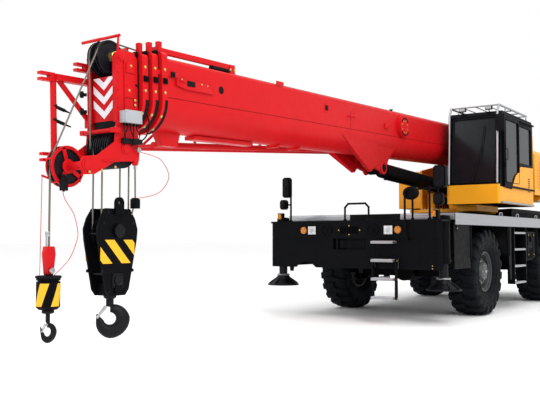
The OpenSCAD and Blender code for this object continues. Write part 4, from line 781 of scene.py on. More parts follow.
def head_fittings():
    # Grey junction box with its lid, screws and glands
    case = Build()
    spot = boom(HEAD + 0.155, CHEEK + 0.047, -0.16)
    case.block(spot, ALONG, RISE, (0.225, 0.125, 0.09), 0.008)
    case.block(spot + Y * 0.049, ALONG, RISE, (0.233, 0.133, 0.014), 0.005)
    for a in (-0.1, 0.1):
        for b in (-0.05, 0.05):
            case.dome(spot + ALONG * a + RISE * b + Y * 0.056, Y, 0.008)
    case.done("junction_box", GREY, "section_3")
    cables = Build()
    for k in range(5):
        foot = spot + ALONG * (-0.09 + 0.045 * k) - RISE * 0.066
        cables.lathe([(0.014, 0), (0.014, -0.018), (0.01, -0.03), (0, -0.03)], foot, RISE, 12)
        drop = 0.1 + 0.03 * ((k * 7) % 4)
        bend = foot - RISE * drop + ALONG * (0.02 * ((k * 3) % 5) - 0.04) + Y * 0.012 * (k % 3)
        end = boom(HEAD + 0.02 + 0.04 * k, CHEEK + 0.006, -0.425 - 0.012 * (k % 3))
        cables.tube(smooth_path([foot - RISE * 0.02, foot - RISE * 0.06, bend, end], 6), 0.006, 8)
    cables.block(boom(HEAD + 0.12, CHEEK + 0.026, -0.405), ALONG, RISE, (0.27, 0.055, 0.05), 0.012)
    cables.tube(smooth_path([boom(HEAD + 0.01, CHEEK + 0.03, -0.41), boom(HEAD - 0.1, CHEEK + 0.02, -0.33),
                             boom(HEAD - 0.14, 0.245, -0.2), boom(HEAD - 0.1, 0.236, -0.06),
                             boom(HEAD - 0.035, 0.222, 0.14), boom(HEAD + 0.03, 0.226, 0.2)], 6), 0.008, 8)
    cables.done("head_cables", RUBBER_AND_SHADE, "section_3")
    # Raised bosses on the cheeks, end caps of the shafts
    bosses = Build()
    for side in SIDES:
        y = side * CHEEK
        for a, b in ((0.1, 0.36), (0.13, 0.1)):
            tri = [(-0.07, -0.05), (0.07, -0.05), (0.06, 0.05), (0.0, 0.075), (-0.05, 0.04)]
            bosses.prism(tri, boom(HEAD + a, y - side * 0.002, b), ALONG, RISE, -0.014 * side, 0.004)
        bosses.block(boom(HEAD + 0.19, y + side * 0.006, 0.2), ALONG, RISE, (0.012, 0.6, 0.014), 0.004)
        bosses.block(boom(HEAD + 0.4, y + side * 0.004, -0.62), ALONG, RISE, (0.22, 0.014, 0.012), 0.004)
        for k in range(9):
            bosses.bolt(boom(HEAD + 0.275, y, -0.33 + 0.09 * k), Y * side, 0.01, 0.009)
    bosses.done("head_bosses", RED, "section_3", 30)
    caps = Build()
    for side in SIDES:
        y = side * CHEEK
        for s, z in (TOP_SHEAVE, LOW_SHEAVE, SMALL_SHEAVE):
            caps.lathe([(0.062, -0.001), (0.062, 0.006), (0.046, 0.012), (0.046, 0.02),
                        (0.03, 0.024), (0, 0.024)],
                       boom(s, y, z), Y * side, 28)
            caps.round_bolts(boom(s, y + side * 0.005, z), ALONG, RISE, 0.052, 4, Y * side,
                             0.007, 0.007, 45)
    caps.done("shaft_caps", RED, "section_3", 30)
    bolts = Build()
    for side in SIDES:
        y = side * CHEEK
        for s, z in ((0.1, 0.385), (0.13, 0.125), (0.05, -0.02), (0.05, 0.03), (0.34, -0.68),
                     (0.52, -0.72), (0.68, -0.74)):
            bolts.bolt(boom(HEAD + s, y + side * 0.012, z), Y * side, 0.011, 0.009)
    bolts.done("head_bolts", BRASS, "section_3", 30)
    hubs, spacers = Build(), Build()
    for side, face in ((1, 0.078), (-1, 0.082)):
        centre = boom(TOP_SHEAVE[0], side * face, TOP_SHEAVE[1])
        hubs.lathe([(0.152, -0.001), (0.158, 0.006), (0.176, 0.006), (0.178, -0.001)], centre,
                   Y * side, 48, True)
        hubs.lathe([(0.082, -0.001), (0.078, 0.01), (0.06, 0.014), (0, 0.014)], centre, Y * side, 36)
        spacers.lathe([(0, 0.013), (0.052, 0.013), (0.052, 0.07), (0.046, 0.074), (0, 0.074)],
                      centre, Y * side, 32)
        hubs.round_bolts(centre + Y * (side * 0.011), ALONG, RISE, 0.069, 6, Y * side, 0.006, 0.006)
    hubs.done("sheave_hubs", SHEAVE, "section_3", 30)
    spacers.done("sheave_spacers", BRASS, "section_3", 30)
    # Open guard round the small sheave: two spoked rings and the bars between them
    bracket = Build()
    thick = 0.012
    for y in (-0.068, -0.144):
        hub = boom(SMALL_SHEAVE[0], y + thick / 2, SMALL_SHEAVE[1])
        rim = [(0.176, -thick / 2), (0.208, -thick / 2), (0.208, thick / 2), (0.176, thick / 2)]
        bracket.lathe(rim, hub, Y, 48, True)
        for turn in (75, 165, 215, 300):
            a = radians(turn)
            way = ALONG * cos(a) + RISE * sin(a)
            bracket.block(hub + way * 0.125, way, way.cross(Y), (0.14, 0.042, thick), 0.003)
        out = Y if y > -0.1 else -Y
        bracket.lathe([(0.03, 0), (0.072, 0), (0.072, 0.01), (0.06, 0.014), (0.03, 0.014)],
                      hub + out * (thick / 2), out, 32, True)
    middle_line = boom(SMALL_SHEAVE[0], 0, SMALL_SHEAVE[1])
    for turn in (20, 160, 225, 310):
        spot = arc(middle_line, ALONG, RISE, 0.205, turn, turn, 1)[0]
        bracket.tube([spot + Y * -0.15, spot + Y * -0.05], 0.01, 10)
    bracket.tube([boom(11.02, -0.152, -0.8), boom(11.134, -0.152, -0.766)], 0.011, 10)
    bracket.done("small_sheave_bracket", RED, "section_3", 30)
    # Knobs and pins on the far side
    knobs = Build()
    for z in (0.11, -0.07):
        knobs.lathe([(0.018, 0), (0.018, 0.03), (0.036, 0.034), (0.036, 0.062), (0.028, 0.07), (0, 0.07)],
                    boom(HEAD + 0.298, -0.232, z), ALONG - Y * 0.6, 20)
    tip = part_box("jib_adapter")[1][0]
    for z in (2.66, 2.52):
        start = vec(tip - 0.175, -CHEEK - 0.066, z)
        way = vec(-0.75, 0.35, -0.3).normalized()
        knobs.lathe([(0.03, 0.0), (0.03, 0.035), (0.018, 0.036), (0.018, 0.12), (0.01, 0.15),
                     (0.006, 0.2), (0, 0.2)],
                    start, way, 16)
    knobs.done("head_knobs", RUBBER_AND_SHADE, "section_3", 30)


def dead_end():
    """Wedge socket and standing rope between the head and the hook block."""
    top = boom(HEAD + 0.03, 0.2, -0.52)
    red = Build()
    red.prism([(-0.05, 0.06), (0.06, 0.06), (0.045, -0.07), (0.02, -0.13), (-0.02, -0.13), (-0.04, -0.07)],
              top + Y * 0.022, X, Z, 0.044, 0.006)
    red.done("wedge_socket", RED, "section_3")
    steel = Build()
    steel.lathe([(0.02, -0.05), (0.02, 0.05), (0.028, 0.05), (0.028, 0.062), (0, 0.062)],
                top + Z * 0.03, Y, 16)
    steel.lathe([(0, 0), (0.014, 0), (0.014, 0.05), (0.01, 0.06), (0, 0.06)], top - Z * 0.17, Z, 16)
    steel.done("wedge_pin", STEEL, "section_3")
    rope = Build()
    box = at(7.11, 0.175, 1.675)
    rope.tube([top - Z * 0.12, box + Z * 0.04, at(7.12, 0.135, 1.56)], 0.009, 10)
    rope.done("standing_rope", ROPE, "main_block")
    weight = Build()
    weight.prism(rounded(0.04, 0.04, 0.012), box - Z * 0.05, X, Y, 0.1, 0.004)
    weight.prism(rounded(0.03, 0.03, 0.01), box + Z * 0.05, X, Y, 0.012, 0.002)
    weight.done("stop_weight", BLACK, "main_block")
    switch = Build()
    case = at(7.885, -0.022, 1.845)
    switch.block(case, X, Z, (0.07, 0.13, 0.055), 0.008)
    switch.block(case + Z * 0.075 - Y * 0.012, X, Z, (0.04, 0.05, 0.03), 0.004)
    switch.tube([case - Z * 0.06, case - Z * 0.075], 0.01, 10)
    switch.lathe([(0.012, 0), (0.012, 0.012), (0, 0.016)], case + Y * 0.027 + Z * 0.03, Y, 12)
    switch.done("small_stop_switch", RUBBER_AND_SHADE, "aux_weight", 30)
    line = Build()
    line.tube([at(8.045, -0.152, 1.925), at(8.095, -0.1, 0.954)], 0.0035, 8)
    line.done("small_stop_line", WIRE, "aux_weight")


head_stripes()
head_ropes()
head_fittings()
dead_end()


# Hooks
def hook_shape(centre, turn, inner, back, low, tip, shank, top):
    """A forged hook: rings of changing thickness along a curve about its throat."""
    u = vec(cos(turn), sin(turn), 0)
    v = u.cross(Z)
    rings = [(centre + Z * (inner + 0.5 * shank + 0.13 * k / 3), Z, shank) for k in range(3, 0, -1)]
    for k in range(25):
        a = radians(92 + 250 * k / 24)
        t = k / 24
        if t < 0.34:
            thick = shank * 2 + (back - shank * 2) * (t / 0.34)
        elif t < 0.72:
            thick = back + (low - back) * (t - 0.34) / 0.38
        else:
            thick = low + (tip - low) * (t - 0.72) / 0.28
        out = u * cos(a) + Z * sin(a)
        rings.append((centre + out * (inner + thick / 2), out, thick / 2))
    end = rings[-1]
    for k in range(1, 4):
        step = (u * 0.35 + Z * 0.94) * 0.028 * k
        rings.append((end[0] + step, end[1], end[2] * (1 - 0.27 * k)))
    sides = 16
    verts, faces = [], []
    for n, (place, out, half) in enumerate(rings):
        first = n < 3
        across = u if first else out
        for k in range(sides):
            a = 2 * pi * k / sides
            flat = 1.0 if first else 0.8 - 0.18 * cos(a)
            verts.append(place + across * (half * cos(a)) + v * (half * flat * sin(a)))
    for n in range(len(rings) - 1):
        for k in range(sides):
            m = (k + 1) % sides
            faces.append((n * sides + k, n * sides + m, (n + 1) * sides + m, (n + 1) * sides + k))
    last = (len(rings) - 1) * sides
    faces += [list(range(sides))[::-1], list(range(last, last + sides))]
    made = Build().add(verts, faces)
    made.tube([centre + Z * (inner + 0.1), vec(centre.x, centre.y, top)], shank, 24)
    return made, u, v


def make_hook(name, node, joint, turn, throat, shape, collars, latch, hinge, pin):
    """A forged hook with its collars and its sprung latch, in place of the plain solid."""
    axis = Vector(JOINTS[joint]["pos_m"])
    centre = vec(axis.x, axis.y, throat)
    made, u, v = hook_shape(centre, turn, *shape)
    for profile, z, steps in collars:
        made.lathe(profile, vec(axis.x, axis.y, z), Z, steps)
    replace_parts(made.done(f"{name}_forged", HOOK, node, 50), node)
    spot = centre + Z * hinge[1] + u * hinge[0]
    radius, half, thick, bevel, steps = pin
    flap = Build()
    flap.prism(latch, spot - v * (thick / 2), u, Z, thick, bevel)
    flap.lathe([(0, -half), (radius, -half), (radius, half), (0, half)], spot, v, steps)
    flap.done(f"{name}_latch", STEEL, node, slot="hook_steel")


def make_hooks():
    lo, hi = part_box("main_hook")
    throat = lo[2] + 0.206
    collars = ((cap(0.062, 0.046, 0.05, 0.05), hi[2] - 0.055, 6),
               ([(0.052, 0), (0.066, 0.012), (0.066, 0.03), (0.048, 0.042)], throat + 0.205, 24))
    latch = [(-0.016, 0.012), (0.016, 0.016), (0.1, -0.105), (0.078, -0.118), (-0.006, -0.02)]
    make_hook("main_hook", "main_hook", "main_swivel", radians(-42), throat,
              (0.062, 0.145, 0.144, 0.085, 0.04, hi[2]), collars, latch,
              (0.042, 0.118), (0.014, 0.036, 0.044, 0.004, 16))
    lo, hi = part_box("aux_hook")
    collars = (([(0.044, 0), (0.06, 0.008), (0.06, 0.03), (0.052, 0.036), (0, 0.036)], 0.585, 28),)
    latch = [(-0.01, 0.008), (0.01, 0.01), (0.062, -0.064), (0.048, -0.072)]
    make_hook("small_hook", "aux_hook", "aux_swivel", 0.0, lo[2] + 0.108,
              (0.042, 0.064, 0.066, 0.04, 0.022, hi[2]), collars, latch,
              (0.022, 0.074), (0.008, 0.02, 0.024, 0.002, 12))


def block_stripes():
    """Slanted yellow bands on the hook block's plates, with bolts and a sheave cover."""
    mid = Vector(JOINTS["main_swivel"]["pos_m"])
    yellow = Build()
    for side in SIDES:
        face = vec(mid.x, mid.y + side * 0.1102, 0)
        for k in (-1, 0, 1):
            x = 0.254 * k - 0.181
            band = [(x, 1.056), (x + 0.127, 1.056), (x + 0.358, 1.298), (x + 0.231, 1.298)]
            for limit, sign in ((0.235, 1), (-0.235, -1)):
                band = clip(band, 0, limit, sign) if band else band
            if len(band) > 2:
                yellow.prism(band, face, X, Z, -side * 0.0015)
    yellow.done("block_stripes", STRIPE, "main_block")
    steel = Build()
    for side in SIDES:
        face = mid.y + side * 0.122
        steel.lathe([(0.07, 0), (0.07, 0.008), (0.048, 0.012), (0.03, 0.016), (0, 0.016)],
                    vec(mid.x, face + side * 0.013, 1.39), Y * side, 28)
        steel.round_bolts(vec(mid.x, face + side * 0.02, 1.39), X, Z, 0.058, 4, Y * side, 0.009, 0.008, 45)
        for x, z in ((0.14, 1.58), (0.2, 1.47), (0.21, 0.98), (0.12, 0.77)):
            for way in (-1, 1):
                steel.bolt(vec(mid.x + way * x, mid.y + side * 0.11, z), Y * side, 0.013, 0.011)
        steel.block(vec(mid.x, mid.y + side * 0.113, 0.88), X, Z, (0.15, 0.15, 0.01), 0.004)
        steel.lathe(cap(0.05, 0.012, 0.04, 0.018), vec(mid.x, mid.y + side * 0.117, 0.88), Y * side, 28)
        for x in (-0.058, 0.058):
            for z in (0.822, 0.938):
                steel.bolt(vec(mid.x + x, mid.y + side * 0.117, z), Y * side, 0.009, 0.008)
    for x, z in ((0.225, 1.36), (-0.225, 1.36), (0.16, 0.95), (-0.16, 0.95)):
        steel.tube([vec(mid.x + x, mid.y - 0.105, z), vec(mid.x + x, mid.y + 0.105, z)], 0.01, 10)
    steel.done("block_bolts", HOOK, "main_block", 30)
    # Rope that wraps the block's sheaves
    rope = Build()
    for y in (-0.066, 0.066):
        rope.tube(arc(vec(mid.x, mid.y + y, 1.39), X, Z, 0.185, 180, 360, 24), 0.009, 10)
    rope.done("block_rope", ROPE, "main_block")


def weight_dress():
    """Yellow bands, black disc and red wedge socket on the small hook's weight."""
    mid = Vector(JOINTS["aux_swivel"]["pos_m"])
    r = 0.1162
    bands = Build()
    steps, across = 8, 8
    for k in range(4):
        verts, faces = [], []
        for i in range(steps + 1):
            for j in range(across + 1):
                a = radians(90 * k - 25 + 36 * i / steps + 45 * j / across)
                for reach in (r - 0.004, r):
                    verts.append(vec(mid.x + reach * cos(a), mid.y + reach * sin(a),
                                     0.66 + 0.22 * i / steps))
        row = 2 * (across + 1)
        for i in range(steps):
            for j in range(across):
                a = i * row + 2 * j
                faces += [(a + 1, a + 3, a + row + 3, a + row + 1), (a, a + row, a + row + 2, a + 2)]
            for a in (i * row, i * row + 2 * across):
                faces.append((a, a + 1, a + row + 1, a + row))
        for a in (0, steps * row):
            faces += [(a + 2 * j, a + 2 * j + 1, a + 2 * j + 3, a + 2 * j + 2) for j in range(across)]
        bands.add(verts, faces)
    bands.done("weight_bands", STRIPE, "aux_weight", 60)
    red = Build()
    red.prism([(-0.034, 0.965), (0.034, 0.965), (0.057, 1.165), (0.043, 1.235), (-0.043, 1.235),
               (-0.057, 1.165)],
              vec(mid.x, mid.y + 0.036, 0), X, Z, 0.072, 0.005)
    red.done("weight_socket", RED, "aux_weight")
    rope = Build()
    rope.tube([vec(mid.x, mid.y, 1.236), vec(mid.x, mid.y, 2.02)], 0.0104, 12)
    rope.done("small_rope", ROPE, "aux_weight")
    steel = Build()
    steel.lathe([(0.02, -0.05), (0.02, 0.05), (0.03, 0.05), (0.03, 0.064), (0, 0.064)],
                vec(mid.x, mid.y, 1.00), Y, 16)
    steel.tube([vec(mid.x + 0.03, mid.y, 1.235), vec(mid.x + 0.034, mid.y, 1.38)], 0.009, 8)
    steel.lathe([(0.02, 0), (0.024, 0.01), (0.024, 0.04), (0.02, 0.05), (0, 0.05)],
                vec(mid.x + 0.018, mid.y, 1.33), Z, 16)
    steel.done("weight_pin", STEEL, "aux_weight")
    disc = Build()
    disc.lathe([(0.01, 0), (0.122, 0), (0.126, 0.006), (0.126, 0.018), (0.118, 0.024), (0.01, 0.024)],
               vec(mid.x, mid.y, 0.928), Z, 40)
    disc.done("weight_disc", RUBBER_AND_SHADE, "aux_weight")


make_hooks()
block_stripes()
weight_dress()


# Wheels
def tyre_piece(corner):
    """A tyre with a smooth body and curved lugs down both shoulders."""
    hub = middle(f"tyre_{corner}")
    lo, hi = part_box(f"rim_{corner}")
    bead = (hi[2] - lo[2]) / 2 + 0.004
    outer = 0.745
    body = [(bead, -0.18), (bead + 0.02, -0.205), (0.43, -0.228), (0.52, -0.252), (0.585, -0.258),
            (0.64, -0.248),
            (0.682, -0.226), (0.697, -0.18), (0.703, -0.09), (0.704, 0.0)]
    body += [(r, -y) for r, y in body[-2::-1]]
    made = Build()
    steps = 96
    verts = [hub + vec(r * sin(2 * pi * k / steps), y, r * cos(2 * pi * k / steps))
             for r, y in body for k in range(steps)]
    faces = []
    for i in range(len(body) - 1):
        for k in range(steps):
            m = (k + 1) % steps
            faces.append((i * steps + k, i * steps + m, (i + 1) * steps + m, (i + 1) * steps + k))
    last = (len(body) - 1) * steps
    faces += [(k, last + k, last + (k + 1) % steps, (k + 1) % steps) for k in range(steps)]
    made.add(verts, faces)
    # Lug stations: base radius, base y, lift out and sideways, turn, half width, in degrees
    rows = [(0.69, -0.012, 0.055, 0.0, -1.2, 3.3), (0.69, 0.055, 0.055, 0.0, 1.4, 3.6),
            (0.69, 0.12, 0.053, 0.0, 3.2, 4.0),
            (0.685, 0.185, 0.053, 0.003, 4.2, 4.5), (0.672, 0.226, 0.048, 0.014, 5.4, 4.8),
            (0.64, 0.244, 0.03, 0.018, 6.4, 4.9),
            (0.6, 0.25, 0.01, 0.016, 7.0, 4.7), (0.575, 0.248, 0.004, 0.011, 7.2, 4.2)]
    count = 20
    side_out = 1 if hub.y > 0 else -1
    for side in SIDES:
        for n in range(count):
            start = 360.0 * (n + (0.25 if side > 0 else -0.25)) / count
            verts, faces = [], []
            for r, y, up, out, turn, half in rows:
                for share, lift in ((-1.16, 0.0), (-1.0, 0.86), (-0.86, 1.0), (0.86, 1.0),
                                    (1.0, 0.86), (1.16, 0.0)):
                    a = radians(start + turn + share * half)
                    reach = min(r + up * lift, outer)
                    verts.append(hub + vec(reach * sin(a), side * side_out * (y + out * lift),
                                           reach * cos(a)))
            for i in range(len(rows) - 1):
                for k in range(5):
                    faces.append((6 * i + k, 6 * i + k + 1, 6 * (i + 1) + k + 1, 6 * (i + 1) + k))
            tail = 6 * (len(rows) - 1)
            faces += [(5, 4, 3, 2, 1, 0), tuple(tail + k for k in range(6))]
            made.add(verts, faces)
    # Rings on the sidewalls
    for side in SIDES:
        for r, y in ((0.545, 0.2555), (0.455, 0.2375), (0.385, 0.2165)):
            made.lathe([(r - 0.008, -0.004), (r - 0.004, 0.0045), (r + 0.004, 0.0045), (r + 0.008, -0.004)],
                       hub + Y * (side * y), Y * side, 72, True)
    piece = made.done(f"tyre_{corner}_tread", TYRE, f"wheel_{corner}", 38)
    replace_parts(piece, f"tyre_{corner}")


def wheel_bolts(corner):
    hub = middle(f"tyre_{corner}")
    side = 1 if hub.y > 0 else -1
    nuts = Build()
    # Number, circle and place of the bolts, their size, height and first angle
    for count, radius, out, size, tall, start in (
            (20, 0.262, 0.0635, 0.015, 0.022, 0), (12, 0.187, 0.127, 0.011, 0.012, 8),
                                                  (6, 0.118, 0.187, 0.009, 0.01, 0)):
        nuts.round_bolts(hub + Y * (side * out), X, Z, radius, count, Y * side, size, tall, start)
    nuts.lathe(cap(0.03, 0.01, 0.022, 0.016), hub + Y * (side * 0.194), Y * side, 6)
    nuts.done(f"wheel_nuts_{corner}", STEEL, f"wheel_{corner}", 30)
    ring = Build()
    for r, y in ((0.329, 0.186), (0.3, 0.15)):
        ring.lathe([(r - 0.01, -0.004), (r - 0.006, 0.005), (r + 0.008, 0.005), (r + 0.012, -0.004)],
                   hub + Y * (side * y), Y * side, 72, True)
    ring.tube([hub + vec(0.296, side * 0.09, 0.02), hub + vec(0.292, side * 0.13, 0.02)], 0.007, 8)
    ring.done(f"lock_ring_{corner}", RIM, f"wheel_{corner}")


for corner in CORNERS:
    tyre_piece(corner)
    wheel_bolts(corner)


# Front panel, ladder, lamps and mirrors
def front_panel():
    face, low = FRONT, FRONT - 0.012
    bolts = Build()
    for y, z in ((-0.19, 1.445), (0.19, 1.445), (0.0, 1.515), (0.0, 1.375)):
        bolts.dome(vec(face, y, z), X, 0.011)
    for z in (0.862, 0.905):
        bolts.dome(vec(low, 1.4, z), X, 0.009)
    bolts.done("panel_screws", BRASS, "carrier", 30)
    seams = Build()
    for side in SIDES:
        for y in (0.56, 1.02, 1.3, 1.44):
            seams.dome(vec(face, side * y, 1.565), X, 0.008)
        for z in (0.98, 1.1, 1.26):
            seams.dome(vec(low, side * 1.445, z), X, 0.008)
    for y in (-0.62, 0.46, 1.2):
        seams.tube([vec(low, y, 0.86), vec(low, y, 1.315)], 0.0022, 6)
    for y in (-0.6, 0.6):
        seams.tube([vec(face, y, 1.325), vec(face, y, 1.595)], 0.0022, 6)
    for y in (-1.2, -0.95, -0.72, -0.38, 0.36, 1.00):
        seams.lathe([(0.011, 0), (0.011, 0.003), (0, 0.003)], vec(low, y, 1.04), X, 14)
    seams.tube([vec(low + 0.004, -0.82 + 0.262 * cos(a), 0.67 + 0.262 * sin(a))
                for a in (radians(42 + 96 * k / 16) for k in range(17))], 0.007, 8)
    for y in (-1.1, 0.2):
        seams.prism([(-0.04, 0), (0.04, 0), (0.03, -0.07), (-0.03, -0.07)],
                    ahead(-0.025, y, 0.842), Y, Z, 0.02, 0.004)
    seams.done("panel_seams", BLACK, "carrier", 30)
    drum = Build()
    drum.lathe([(0, -0.075), (0.06, -0.075), (0.075, -0.07), (0.075, 0.07), (0.06, 0.075), (0, 0.075)],
               ahead(-0.115, -0.165, 1.222), Z, 32)
    drum.lathe([(0.08, -0.07), (0.084, -0.066), (0.084, -0.056), (0.08, -0.052)],
               ahead(-0.115, -0.165, 1.222), Z, 32, True)
    drum.block(ahead(-0.115, -0.02, 1.222), Y, Z, (0.52, 0.15, 0.012), 0.003)
    drum.done("pocket_drum", BLACK, "carrier")


def ladder():
    treads = Build()
    for z in (0.42, 0.705, 0.99, 1.27):
        for k in range(7):
            x = FRONT + 0.012 + 0.019 * k
            treads.prism([(-0.005, 0), (0.005, 0), (0.003, 0.006), (-0.003, 0.006)],
                         vec(x, 0.824, z), X, Z, 0.368)
        treads.tube([ahead(0.1405, 0.458, z - 0.0175), ahead(0.1405, 0.822, z - 0.0175)], 0.011, 10)
    x0, x1 = SIDE_STEPS[0] + 0.03, SIDE_STEPS[1] - 0.03
    for side in SIDES:
        for z in (0.5, 0.81, 1.12, 1.43):
            for k in range(6):
                y = side * (1.4 + 0.021 * k)
                treads.prism([(-0.005, 0), (0.005, 0), (0.003, 0.006), (-0.003, 0.006)],
                             vec(x0, y, z), Y, Z, x1 - x0)
    treads.done("step_ridges", ALLOY, "carrier", 30)
    sides = Build()
    for y in (0.43, 0.825):
        sides.box((FRONT + 0.018, y - 0.003, 0.383), (FRONT + 0.072, y + 0.028, 1.012), 0.004)
    for side in SIDES:
        for x in (SIDE_STEPS[0], SIDE_STEPS[1] - 0.025):
            y0, y1 = sorted((side * 1.387, side * 1.523))
            sides.box((x - 0.003, y0, 0.468), (x + 0.028, y1, 1.679), 0.004)
    sides.done("step_sides", BLACK, "carrier", 30)
    bolts = Build()
    for z in (0.402, 0.687, 0.972):
        for y, way in ((0.427, -1), (0.853, 1)):
            bolts.bolt(ahead(0.045, y, z), Y * way, 0.01, 0.008)
    bolts.done("step_bolts", BRASS, "carrier", 30)


def lamp_bezels():
    rims, glow = Build(), Build()
    for side in SIDES:
        y = side * 0.69
        for k in (1, -1):
            rims.block(ahead(0.007, y + k * 0.079, LAMP_Z), Y, Z, (0.014, 0.158, 0.016), 0.004)
            rims.block(ahead(0.007, y, LAMP_Z + k * 0.072), Y, Z, (0.158, 0.014, 0.016), 0.004)
        rims.lathe([(0.06, -0.001), (0.07, -0.001), (0.07, 0.01), (0.064, 0.016), (0.06, 0.016)],
                   ahead(0, side * TURN_LAMP_Y, LAMP_Z), X, 36, True)
        for k in range(5):
            rib = y - 0.052 + 0.026 * k
            glow.tube([ahead(0.0125, rib, z) for z in (1.392, 1.498)], 0.003, 6)
        glow.lathe([(0.04, 0), (0.036, 0.003), (0.012, 0.004), (0, 0.002)], ahead(0.012, y, LAMP_Z), X, 28)
    rims.done("lamp_bezels", RUBBER_AND_SHADE, "carrier", 30)
    glow.done("lamp_ribs", LENS, "carrier", 60)
    amber = Build()
    for side in SIDES:
        amber.lathe([(0.056, 0), (0.055, 0.006), (0.04, 0.013), (0.02, 0.016), (0, 0.017)],
                    ahead(0.0142, side * TURN_LAMP_Y, LAMP_Z), X, 36)
        for r in (0.018, 0.034, 0.048):
            amber.lathe([(r - 0.003, 0), (r, 0.004), (r + 0.003, 0)],
                        ahead(0.0265 - r * 0.15, side * TURN_LAMP_Y, LAMP_Z), X, 32, True)
    for y in (1.435, -1.335):
        amber.block(ahead(0.018, y, 1.6825), Y, Z, (0.046, 0.088, 0.006), 0.003)
    amber.done("amber_lenses", AMBER, "carrier", 60)


def mirrors():
    post = FRONT - 0.045
    glassy, rims = Build(), Build()
    # Place across, width, lower and upper edge of each mirror
    for y, w, z0, z1 in ((1.524, 0.196, 2.066, 2.4), (1.5, 0.15, 1.81, 1.99),
                         (-1.212, 0.15, 2.000, 2.34),
                         (-1.275, 0.13, 1.8, 1.965)):
        a, b, mid = w / 2, (z1 - z0) / 2, (z0 + z1) / 2
        glassy.prism(cut_corners(a - 0.014, b - 0.014, 0.03), vec(post - 0.03, y, mid), Y,
                     Z, -0.003, 0.001)
        rims.prism(cut_corners(a - 0.02, b - 0.02, 0.03), vec(post + 0.039, y, mid), Y, Z, 0.022, 0.008)
        rims.lathe(cap(0.026, 0.012, 0.018, 0.02), vec(post + 0.06, y, mid - 0.02), X, 20)
    shape = [(0.112 * cos(a), 0.087 * sin(a)) for a in (radians(12 * k) for k in range(30))]
    glassy.prism(shape, vec(post + 0.012, 1.06, 2.000), Y, Z, -0.004, 0.001)
    glassy.done("mirror_glass", MIRROR, "carrier")
    rims.done("mirror_backs", TRIM, "carrier", 30, slot="black_paint")
    collars = Build()
    for y in (1.075, 1.351, -1.14):
        collars.lathe([(0.03, 0), (0.03, 0.01), (0.02, 0.022), (0.0165, 0.026)],
                      vec(post, y, PANEL_TOP), Z, 20)
    for y in (-0.106, 0.32):
        collars.lathe([(0.032, 0), (0.032, 0.01), (0.02, 0.02), (0.0165, 0.024)],
                      ahead(-0.06, y, PANEL_TOP), Z, 20)
    collars.done("rail_feet", BLACK, "carrier")


front_panel()
ladder()
lamp_bezels()
mirrors()


# Deck, skirts and boxes of the carrier
def deck_dress():
    plates = Build()
    x1, x0 = FRONT - 0.6, AXLE.x - 0.3
    step = (x1 - x0) / 3
    for side in SIDES:
        for k in range(3):
            a, b = x0 + step * k + 0.006, x0 + step * (k + 1) - 0.006
            y0, y1 = sorted((side * 0.78, side * 1.515))
            plates.box((a, y0, 1.71), (b, y1, 1.7135), 0.001)
            if k:
                y0, y1 = sorted((side * 0.02, side * 0.766))
                plates.box((a, y0, 1.71), (b, y1, 1.7135), 0.001)
    for y0, y1 in ((-1.4, -0.9), (-0.82, -0.2), (0.4, 0.98)):
        plates.box((FRONT - 0.5, y0, 1.6), (FRONT - 0.12, y1, 1.6035), 0.001)
    plates.done("deck_plates", CHECKER, "carrier")
    riser = Build()
    for y0, y1 in ((-1.525, -0.3), (0.62, 1.525)):
        riser.box((FRONT - 0.5805, y0, 1.603), (FRONT - 0.57, y1, 1.709), 0.003)
        for z in (1.635, 1.675):
            riser.tube([ahead(-0.57, y0 + 0.01, z), ahead(-0.57, y1 - 0.01, z)], 0.004, 6)
    riser.done("deck_riser", ALLOY, "carrier")
    rails = Build()
    lo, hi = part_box("main_deck")
    grip = ((-0.07, 1.71), (-0.07, 1.75), (-0.05, 1.768), (0.05, 1.768), (0.07, 1.75), (0.07, 1.71))
    for side in SIDES:
        for z in (1.575, 1.625, 1.675):
            rails.tube([vec(lo[0] + 0.01, side * 1.54, z), vec(hi[0] - 0.01, side * 1.54, z)], 0.0035, 6)
        for x in (-0.6, -1.55, -2.75):
            rails.tube(smooth_path([at(x + a, side * 1.5, z) for a, z in grip], 4), 0.009, 8)
    rails.done("deck_ribs", ALLOY, "carrier")


def side_boxes():
    dark, bolts = Build(), Build()
    lo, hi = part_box("side_tanks")
    for side in SIDES:
        y = side * 1.5
        # Tank straps with their bolts, and the filler
        for t in (0.2, 0.8):
            x = lo[0] + (hi[0] - lo[0]) * t
            dark.block(vec(x, y + side * 0.003, 1.19), X, Z, (0.05, 0.46, 0.012), 0.003)
            for z in (1.38, 1.00):
                bolts.bolt(vec(x, y + side * 0.009, z), Y * side, 0.01, 0.009)
        dark.lathe(cap(0.06, 0.022, 0.052, 0.03), vec((lo[0] + hi[0]) / 2, y, 1.3), Y * side, 28)
        # Ribbed locker under the deck, behind the steps
        for k in range(6):
            dark.block(vec(hi[0] - 0.1 - 0.055 * k, y + side * 0.002, 1.02), X, Z,
                       (0.022, 0.2, 0.016), 0.004)
        # Fender lips
        for wheel in (AXLE, REAR):
            for x in (wheel.x + 0.956, wheel.x - 0.984):
                dark.block(vec(x, side * 1.25, 1.02), X, Y, (0.022, 0.52, 0.05), 0.006)
        # Work lamp socket and switch box on the front skirt
        dark.block(ahead(-0.7, side * 1.517, 1.5), X, Z, (0.075, 0.15, 0.012), 0.004)
        for z in (1.47, 1.53):
            bolts.dome(ahead(-0.7, side * 1.522, z), Y * side, 0.012)
        # Hoses along the frame
        for k in range(3):
            z = 1.3 + 0.035 * k
            run = ((REAR.x + 1.0, 0.448, z), (REAR.x + 1.6, 0.452, z + 0.01),
                   (AXLE.x - 1.4, 0.452, z - 0.01),
                   (AXLE.x - 0.6, 0.448, z))
            dark.tube(smooth_path([vec(a, side * b, c) for a, b, c in run], 8), 0.013, 8)
    dark.done("side_fittings", FRAME, "carrier", 30)
    bolts.done("side_bolts", BRASS, "carrier", 30)


